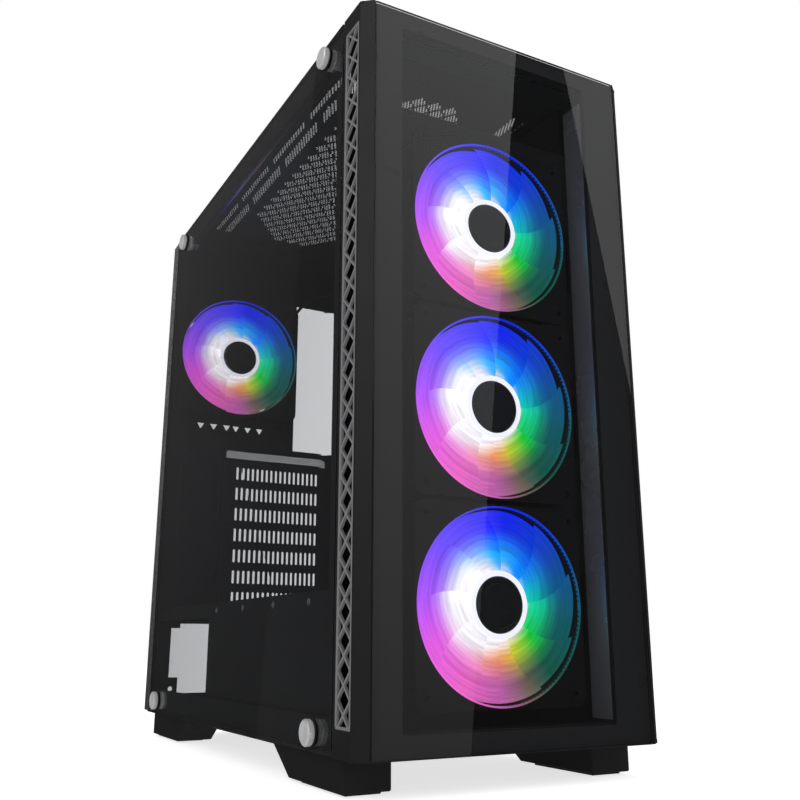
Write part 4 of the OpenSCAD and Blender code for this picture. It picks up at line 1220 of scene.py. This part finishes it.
def blade_mesh(centre, turn, low, high, root, tip):
    """One wide swept blade, closed, between two distances behind the fan's face."""
    count, rows, columns, half = sizes().blade_count, 12, 12, 0.6 * MM
    width = 2 * math.pi / count * sizes().blade_overlap
    layers = []
    for side in (-1, 1):
        grid = []
        for i in range(rows + 1):
            share = i / rows
            radius = root + (tip - root) * share
            sweep = -0.42 * share ** 1.5
            for j in range(columns + 1):
                along = j / columns
                angle = turn + sweep + width * (1.3 - 0.3 * share) * (along - 0.5)
                rise = 0.5 - 0.5 * math.cos(math.pi * (0.08 + 0.84 * along))
                thin = half * (0.35 + 0.65 * math.sin(math.pi * along) ** 0.5)
                depth = low + (high - low) * rise * (1 - 0.68 * share) + side * thin
                grid.append(centre + Vector((radius * math.sin(angle), depth, radius * math.cos(angle))))
        layers += grid
    across = columns + 1
    size = (rows + 1) * across
    faces = []
    for i in range(rows):
        for j in range(columns):
            a, b, c, d = i * across + j, i * across + j + 1, (i + 1) * across + j + 1, (i + 1) * across + j
            faces += [(a, b, c, d), (size + d, size + c, size + b, size + a)]
    rim = list(range(columns)) + [i * across + columns for i in range(rows)]
    rim += [rows * across + j for j in range(columns, 0, -1)] + [i * across for i in range(rows, 0, -1)]
    faces += [(b, a, a + size, b + size) for a, b in zip(rim, rim[1:] + rim[:1])]
    return mesh_of("blade", layers, faces)


class TOWER_OT_rotors(bpy.types.Operator):
    """Four lit rotors with swept blades, a white ring and a black cap with plain rings"""

    bl_idname = "tower.rotors"
    bl_label = "Rotors"

    def execute(self, context):
        cap_radius = sizes().cap_radius
        for fan in FANS:
            centre, body = fan_centre(fan), fan + "_spinner"
            near = BOX[fan + "_rotor"][0].y - centre.y
            far = BOX[fan + "_rotor"][1].y - centre.y
            root, tip = cap_radius + 3.0 * MM, FAN_RADIUS
            count = sizes().blade_count
            blades = [blade_mesh(centre, 2 * math.pi * k / count, near + 1.2 * MM, far - 1.6 * MM, root, tip)
                      for k in range(count)]
            skirt = [(root - 1.6 * MM, near + 2 * MM), (root + 0.3 * MM, near + 2 * MM),
                     (root + 0.3 * MM, far), (root - 1.6 * MM, far)]
            blades.append(lathe("skirt", skirt, centre, (0, 1, 0)))
            mesh = smooth(outward(joined(fan + "_blades", blades), fan + "_blades"))
            piece(fan + "_blades", with_disc(mesh, centre), body, lit_rotor(), [fan + "_rotor"])
            ring = [(cap_radius, near + 0.6 * MM), (root + 0.2 * MM, near + 0.9 * MM),
                    (root + 0.3 * MM, near + 3 * MM), (cap_radius, near + 3 * MM)]
            mesh = lathe(fan + "_hub_ring", ring, centre, (0, 1, 0))
            piece(fan + "_hub_ring", softened(mesh, 0.2 * MM), body, lit_ring())
            cap = [(0, near + 0.4 * MM), (5.4 * MM, near + 0.4 * MM), (5.7 * MM, near + 0.7 * MM),
                   (6.3 * MM, near + 0.7 * MM), (6.6 * MM, near + 0.35 * MM), (12.6 * MM, near + 0.35 * MM),
                   (12.9 * MM, near + 0.65 * MM), (13.5 * MM, near + 0.65 * MM), (13.8 * MM, near + 0.3 * MM),
                   (cap_radius - 0.9 * MM, near + 0.3 * MM), (cap_radius - 0.15 * MM, near + 1.0 * MM),
                   (cap_radius - 0.15 * MM, near + 3.4 * MM), (0, near + 3.4 * MM)]
            mesh = lathe(fan + "_hub_cap", cap, centre, (0, 1, 0))
            piece(fan + "_hub_cap", softened(mesh, 0.08 * MM, 2, 25), body, glossy_plastic())
        return {"FINISHED"}


def islands(node):
    """Boxes of the separate solids in a CAD node."""
    made = merged(node)
    left, found = set(made.verts), []
    while left:
        reach, group = [left.pop()], []
        while reach:
            here = reach.pop()
            group.append(here.co.copy())
            for edge in here.link_edges:
                other = edge.other_vert(here)
                if other in left:
                    left.discard(other)
                    reach.append(other)
        low = Vector([min(p[k] for p in group) for k in range(3)])
        high = Vector([max(p[k] for p in group) for k in range(3)])
        found.append((low, high))
    made.free()
    return sorted(found, key=lambda pair: tuple(pair[0]))


def cross_recess(mesh, width, length, depth, top):
    """Cuts a cross recess into the top of a screw head that points along Y."""
    half = width / 2
    arms = joined("arms", [block_mesh((-length, top - depth, -half), (length, top + depth, half)),
                           block_mesh((-half, top - depth, -length), (half, top + depth, length))])
    return carved(mesh, arms)


def carved(mesh, cutter):
    """A closed mesh with another taken out of it."""
    made, tool = loose("carving", mesh), loose("cutter", cutter)
    cut = made.modifiers.new("Carve", "BOOLEAN")
    cut.operation = "DIFFERENCE"
    cut.solver = "EXACT"
    cut.use_self = True
    cut.object = tool
    mesh = settled(made)
    bpy.data.objects.remove(tool)
    return mesh


class TOWER_OT_fan_fittings(bpy.types.Operator):
    """Fan screws with a cross recess, fan motors, the fan leads and their splitter board"""

    bl_idname = "tower.fan_fittings"
    bl_label = "Fan fittings"

    def execute(self, context):
        head, shank, length = 3.6 * MM, 2.1 * MM, 11.8 * MM
        outline = [(0, 0), (1.8 * MM, 0), (head - 0.7 * MM, -0.45 * MM), (head, -1.3 * MM), (head, -1.8 * MM),
                   (shank, -1.8 * MM), (shank, -length), (0, -length)]
        template = lathe("fan_screw", outline, Vector((0, 0, 0)), (0, 1, 0), 24)
        template = cross_recess(template, 0.7 * MM, 1.9 * MM, 0.9 * MM, 0)
        places = [((low.x + high.x) / 2, high.y, (low.z + high.z) / 2) for low, high in islands("fan_screws")]
        mesh = repeated("fan_screw_set", template, places, [(0, 0, 0)] * len(places), black_zinc())
        mesh = softened(mesh, 0.1 * MM, 1)
        piece("fan_screw_set", mesh, "chassis", black_zinc(), ["fan_screws"])
        refined("fan_motor_set", "fan_motors", motor_steel(), 0.3 * MM)
        refined("fan_splitter", "fan_hub", black_plastic(), 0.4 * MM)
        mesh = softened(to_mesh(merged("fan_leads"), "fan_lead_set"), 0, 1, 60)
        piece("fan_lead_set", mesh, "chassis", lead_sheath(), ["fan_leads"])
        return {"FINISHED"}


class TOWER_OT_roof(bpy.types.Operator):
    """Roof sheet with rows of slanted slits and a middle field of slit diamonds"""

    bl_idname = "tower.roof"
    bl_label = "Roof"

    def execute(self, context):
        high = BOX["roof_panel"][1]
        a0, a1, b0, b1 = -80.5 * MM, 81.5 * MM, -151 * MM, 166 * MM
        level = high.z - STEEL
        base = to_mesh(merged("roof_panel", True), "roof")
        base = carved(base, block_mesh((a0, b0, level - 2 * MM), (a1, b1, high.z + 2 * MM)))
        outline = [(a0, b0), (a1, b0), (a1, b1), (a0, b1)]
        holes = self.side_slits() + self.diamonds()
        sheet = plate("roof_field", outline, holes, high.z - 0.6 * MM, high.z, lift_z)
        mesh = joined("roof_sheet", [softened(base, 0), sheet])
        piece("roof_sheet", mesh, "chassis", coated_steel(), ["roof_panel"])
        self.rolled_edge()
        return {"FINISHED"}

    def side_slits(self):
        """Two rows of slanted slits along each long side, in four lengths."""
        slit, half, lean = sizes().slit, 3.4 * MM, sizes().slit_lean
        length = 2 * half / math.cos(lean) + slit
        pitch = sizes().slit_pitch / math.cos(lean)
        first, run, run_pitch = -143 * MM, 63.3 * MM, 79.25 * MM
        count = round(run / pitch)
        holes = []
        for centre in (-75.5 * MM, -64.5 * MM, 65.5 * MM, 76.5 * MM):
            for k in range(4):
                for n in range(count + 1):
                    along = first + k * run_pitch + n * run / count
                    holes.append(slit_outline(centre, along, length - slit, slit, lean))
        return holes

    def diamonds(self):
        """A lattice of diamonds, each cut into slanted slits, inside one large field with sloping ends."""
        long_pitch, wide_pitch, bar = sizes().cell, sizes().cell * 0.78, 0.75 * MM
        pitch, slit, lean = sizes().slit_pitch, sizes().slit, sizes().slit_lean
        middle_a, middle_b, half_a, half_b, end_slope = 0.5 * MM, 7.5 * MM, 57 * MM, 154 * MM, 50 * MM
        holes = []
        rows, columns = int(2 * half_b / long_pitch) + 2, int(2 * half_a / wide_pitch) + 2
        for i in range(-rows, rows + 1):
            for j in range(-columns, columns + 1):
                a = middle_a + (j + 0.5 * (i % 2)) * wide_pitch
                b = middle_b + i * long_pitch / 2
                slope = max(0.0, abs(b - middle_b) - half_b + end_slope)
                if abs(a - middle_a) > half_a - wide_pitch / 2 - slope:
                    continue
                if abs(b - middle_b) > half_b - long_pitch / 2:
                    continue
                half_cell = (wide_pitch / 2 - bar, long_pitch / 2 - bar)
                for n in (-2, -1, 0, 1, 2):
                    holes += self.cell_slit(a, b, half_cell, n * pitch, slit, lean)
        return holes

    def cell_slit(self, a, b, half_cell, offset, slit, lean):
        """One slit of a diamond, as long as the diamond is there, or none where it is too short."""
        along, across = Vector((math.cos(lean), math.sin(lean))), Vector((-math.sin(lean), math.cos(lean)))
        low, high = -1.0, 1.0
        for side_a in (-1, 1):
            for side_b in (-1, 1):
                normal = Vector((side_a / half_cell[0], side_b / half_cell[1]))
                slope, start = normal.dot(along), normal.dot(across * offset)
                reach = (1 - start) / slope
                low, high = (low, min(high, reach)) if slope > 0 else (max(low, reach), high)
        if high - low < 2.2 * slit:
            return []
        centre = along * (low + high) / 2 + across * offset
        return [slit_outline(a + centre.x, b + centre.y, high - low, slit, lean)]

    def rolled_edge(self):
        """The rolled inner edge under the left side of the roof."""
        x, z, radius = -92.4 * MM, SHEET_TOP - 12.4 * MM, 4.6 * MM
        places = [(x, y * MM, z) for y in (-152, -60, 60, 163)]
        mesh = smooth(swept_tube("roof_rolled_edge", places, radius, 24))
        piece("roof_rolled_edge", mesh, "chassis", corner_coat())


class TOWER_OT_rear_wall(bpy.types.Operator):
    """Rear wall with a strip of pinholes over the card slots, raised beads and dome rivets"""

    bl_idname = "tower.rear_wall"
    bl_label = "Rear wall"

    def execute(self, context):
        a0, a1, z0, z1 = -41.5 * MM, 71.5 * MM, 256.5 * MM, 267.5 * MM
        base = to_mesh(merged("rear_wall"), "rear")
        base = carved(base, block_mesh((a0, REAR_IN - 0.5 * MM, z0), (a1, REAR_OUT + 0.2 * MM, z1)))
        pitch, radius = sizes().pinhole_pitch, sizes().pinhole
        rows = int((z1 - z0 - 1 * MM) / pitch)
        columns = int((a1 - a0 - 1 * MM) / pitch)
        holes = []
        for i in range(rows):
            for j in range(columns - i % 2):
                a = (a0 + a1) / 2 + (j - (columns - 1 - i % 2) / 2) * pitch
                z = (z0 + z1) / 2 + (i - (rows - 1) / 2) * pitch * 0.9
                holes.append(circle_outline(a, z, radius, 8))
        strip = plate("strip", [(a0, z0), (a1, z0), (a1, z1), (a0, z1)], holes, REAR_IN, REAR_OUT, lift_y)
        mesh = joined("rear_sheet", [softened(base, 0), strip])
        piece("rear_sheet", mesh, "chassis", coated_steel(), ["rear_wall"])
        beads = []
        loops = [round_rectangle(-81.5 * MM, 138 * MM, -45 * MM, 267 * MM, 12 * MM, 8),
                 round_rectangle(-99 * MM, 284 * MM, 27 * MM, 421 * MM, 12 * MM, 8),
                 round_rectangle(-94 * MM, 436 * MM, 80 * MM, 447 * MM, 5 * MM, 8)]
        for face, out in ((REAR_OUT, 1), (REAR_IN, -0.6)):
            beads += [self.bead(loop, face, out) for loop in loops]
        piece("rear_beads", joined("rear_beads", beads), "chassis", coated_steel())
        low, high = BOX["rear_wall"]
        strip = block_mesh(
            (low.x - 0.25 * MM, low.y + 0.3 * MM, low.z + 1 * MM),
            (low.x, high.y - 0.6 * MM, high.z - 1 * MM))
        piece("rear_corner_face", softened(strip, 0.1 * MM), "chassis", corner_coat())
        outline = [(0, 0.9 * MM), (0.9 * MM, 0.8 * MM), (1.7 * MM, 0.45 * MM), (2.2 * MM, 0), (0, 0)]
        template = lathe("rivet", outline, Vector((0, 0, 0)), (0, 1, 0), 20)
        places, turns = [], []
        for low, high in islands("chassis_rivets"):
            centre = (low + high) / 2
            sideways = high.x - low.x < high.y - low.y
            places.append((high.x, centre.y, centre.z) if sideways else (centre.x, low.y, centre.z))
            turns.append((0, 0, math.pi / 2 if sideways else 0))
        mesh = repeated("dome_rivets", template, places, turns, plated_steel())
        mesh = softened(mesh, 0, 1, 40)
        piece("dome_rivets", mesh, "chassis", plated_steel(), ["chassis_rivets"])
        return {"FINISHED"}

    def bead(self, loop, face, out):
        """A raised bead along a closed loop on a face of the wall, outwards or inwards."""
        points, faces, count = [], [], len(loop)
        section = [(-1.6, -0.2), (-0.9, 0.5), (0, 0.75), (0.9, 0.5), (1.6, -0.2)]
        for k in range(count):
            (a0, b0), (a1, b1), (a2, b2) = loop[k - 1], loop[k], loop[(k + 1) % count]
            away = Vector((b2 - b0, a0 - a2)).normalized()
            for offset, rise in section:
                points.append((a1 + away.x * offset * MM, face + out * rise * MM, b1 + away.y * offset * MM))
        size = len(section)
        for k in range(count):
            for s in range(size):
                faces.append((k * size + s, k * size + (s + 1) % size,
                              (k + 1) % count * size + (s + 1) % size, (k + 1) % count * size + s))
        return smooth(outward(mesh_of("bead", points, faces), "bead"))


class TOWER_OT_slot_covers(bpy.types.Operator):
    """Seven slotted card covers, their screws and the folded shield beside them"""

    bl_idname = "tower.slot_covers"
    bl_label = "Slot covers"

    def execute(self, context):
        for k in range(1, 8):
            refined("card_cover_%d" % k, "slot_cover_%d" % k, coated_steel(), 0)
        refined("card_cover_screws", "slot_screws", black_zinc(), 0.25 * MM)
        refined("card_cover_shield", "slot_shield", coated_steel(), 0.3 * MM)
        return {"FINISHED"}


class TOWER_OT_sheet_steel(bpy.types.Operator):
    """Floor, mainboard tray, fan wall, power supply shroud, right side and their small fittings"""

    bl_idname = "tower.sheet_steel"
    bl_label = "Sheet steel"

    def execute(self, context):
        for name, node in (("floor_sheet", "floor_pan"), ("board_tray", "motherboard_tray"),
                           ("fan_wall", "front_fan_wall"), ("supply_shroud", "psu_shroud"),
                           ("right_side", "right_panel")):
            refined(name, node, coated_steel(), 0)
        refined("board_studs", "board_standoffs", standoff_brass(), 0.2 * MM)
        refined("glass_bushes", "glass_standoffs", plated_steel(), 0.3 * MM)
        refined("supply_pads", "psu_pads", rubber(), 0.4 * MM)
        return {"FINISHED"}


class TOWER_OT_drive_bays(bpy.types.Operator):
    """Drive cage with two caddies, and the brackets for flat drives"""

    bl_idname = "tower.drive_bays"
    bl_label = "Drive bays"

    def execute(self, context):
        refined("drive_bay_cage", "drive_cage", plated_steel())
        for k in (1, 2):
            node = "drive_caddy_%d" % k
            refined(node + "_tray", node, black_plastic(), 0.4 * MM)
        refined("flat_drive_brackets", "ssd_brackets", coated_steel())
        return {"FINISHED"}


class TOWER_OT_glass_screws(bpy.types.Operator):
    """Four knurled screws that hold the left pane"""

    bl_idname = "tower.glass_screws"
    bl_label = "Glass screws"

    def execute(self, context):
        for corner in ("front_top", "front_bottom", "rear_top", "rear_bottom"):
            node = "glass_screw_" + corner
            low, high = BOX[node]
            centre = Vector((low.x, (low.y + high.y) / 2, (low.z + high.z) / 2))
            parts = [self.head(centre, 4.2 * MM), self.shank(centre, high.x - low.x)]
            mesh = joined(node + "_head", parts)
            piece(node + "_head", mesh, node + "_turn", nickel(), [node])
        return {"FINISHED"}

    def head(self, centre, thick):
        """A knurled head with a chamfered rim and a turned dish."""
        teeth, tooth, points, rings = 48, 0.38, [], []
        profile = [(0, 0.5), (4.4, 0.5), (5.0, 0.0), (6.3, 0.0), (7.1, 0.55), (7.4, 1.0),
                   (7.4, 3.4), (6.9, thick / MM), (0, thick / MM)]
        steps = teeth * 2
        for r, x in profile:
            if r == 0:
                rings.append([len(points)] * steps)
                points.append(centre + Vector((x * MM, 0, 0)))
                continue
            ring = []
            for k in range(steps):
                grip = r - (tooth if r > 7 and k % 2 else 0)
                angle = 2 * math.pi * k / steps
                ring.append(len(points))
                points.append(centre + MM * Vector((x, grip * math.cos(angle), grip * math.sin(angle))))
            rings.append(ring)
        mesh = outward(mesh_of("head", points, faces_between(rings)), "head")
        return softened(mesh, 0, 1, 30)

    def shank(self, centre, length):
        """The threaded shank, with a ridge for each turn of thread."""
        start, end, root, crest, pitch = 4.2 * MM, length, 2.55 * MM, 2.95 * MM, 0.8 * MM
        outline = [(0, start)]
        turns = int((end - start - 1.2 * MM) / pitch)
        for k in range(turns):
            outline += [(root, start + k * pitch), (crest, start + (k + 0.5) * pitch)]
        outline += [(root, start + turns * pitch), (root - 0.5 * MM, end), (0, end)]
        return softened(lathe("shank", outline, centre, (1, 0, 0), 32), 0, 1, 30)


class TOWER_OT_panel_screws(bpy.types.Operator):
    """Two thumbscrews that hold the steel side at the rear"""

    bl_idname = "tower.panel_screws"
    bl_label = "Steel side screws"

    def execute(self, context):
        for end in ("top", "bottom"):
            refined("side_screw_" + end, "panel_screw_" + end, black_zinc(), 0.2 * MM)
        return {"FINISHED"}


class TOWER_OT_filters(bpy.types.Operator):
    """Woven dust filter in a magnetic frame on the roof, and the power supply's filter tray"""

    bl_idname = "tower.filters"
    bl_label = "Dust filters"

    def execute(self, context):
        low, high = BOX["roof_filter"]
        border = 9 * MM
        outline = round_rectangle(low.x, low.y, high.x, high.y, 6 * MM)
        window = round_rectangle(low.x + border, low.y + border, high.x - border, high.y - border, 3 * MM)
        rim = softened(plate("roof_filter_rim", outline, [window], low.z, high.z, lift_z), 0.5 * MM)
        piece("roof_filter_rim", rim, "roof_dust_filter", rubber(), ["roof_filter"])
        inner_low = Vector((low.x + border - 2 * MM, low.y + border - 2 * MM, 0))
        inner_high = Vector((high.x - border + 2 * MM, high.y - border + 2 * MM, 0))
        mesh = woven("roof_filter_weave", inner_low, inner_high, (low.z + high.z) / 2, filter_thread())
        piece("roof_filter_weave", mesh, "roof_dust_filter", filter_thread())
        refined("supply_filter_tray", "psu_filter", black_plastic(), 0.2 * MM)
        return {"FINISHED"}


class TOWER_OT_feet(bpy.types.Operator):
    """Four wedge feet with rubber pads"""

    bl_idname = "tower.feet"
    bl_label = "Feet"

    def execute(self, context):
        refined("wedge_feet", "feet", black_plastic(), 1.2 * MM, 3)
        refined("foot_rubbers", "foot_pads", rubber(), 0.4 * MM)
        return {"FINISHED"}


OPERATORS = (
    TOWER_OT_stage, TOWER_OT_glass_panes, TOWER_OT_fascia, TOWER_OT_top_sockets, TOWER_OT_fan_frames,
    TOWER_OT_rotors, TOWER_OT_fan_fittings, TOWER_OT_roof, TOWER_OT_rear_wall, TOWER_OT_slot_covers,
    TOWER_OT_sheet_steel, TOWER_OT_drive_bays, TOWER_OT_glass_screws, TOWER_OT_panel_screws,
    TOWER_OT_filters, TOWER_OT_feet,
)


class TOWER_PT_panel(bpy.types.Panel):
    """Lists the tower's settings and pieces"""

    bl_idname = "TOWER_PT_panel"
    bl_label = "Tower"
    bl_space_type = "VIEW_3D"
    bl_region_type = "UI"
    bl_category = "Tower"

    def draw(self, context):
        scene = context.scene
        for settings in (scene.tower_sizes, scene.tower_finishes, scene.tower_stage):
            column = self.layout.column(align=True)
            for name in settings.bl_rna.properties.keys():
                if name not in ("rna_type", "name"):
                    column.prop(settings, name)
        column = self.layout.column(align=True)
        for operator in OPERATORS:
            column.operator(operator.bl_idname)


GROUPS = (TowerSizes, TowerFinishes, TowerStage)


def register():
    for made in GROUPS + OPERATORS + (TOWER_PT_panel,):
        bpy.utils.register_class(made)
    bpy.types.Scene.tower_sizes = bpy.props.PointerProperty(type=TowerSizes)
    bpy.types.Scene.tower_finishes = bpy.props.PointerProperty(type=TowerFinishes)
    bpy.types.Scene.tower_stage = bpy.props.PointerProperty(type=TowerStage)


def unregister():
    del bpy.types.Scene.tower_sizes
    del bpy.types.Scene.tower_finishes
    del bpy.types.Scene.tower_stage
    for made in reversed(GROUPS + OPERATORS + (TOWER_PT_panel,)):
        bpy.utils.unregister_class(made)


def main():
    """Builds every piece in order."""
    register()
    for operator in OPERATORS:
        group, name = operator.bl_idname.split(".")
        getattr(getattr(bpy.ops, group), name)()


if __name__ == "__main__":
    main()
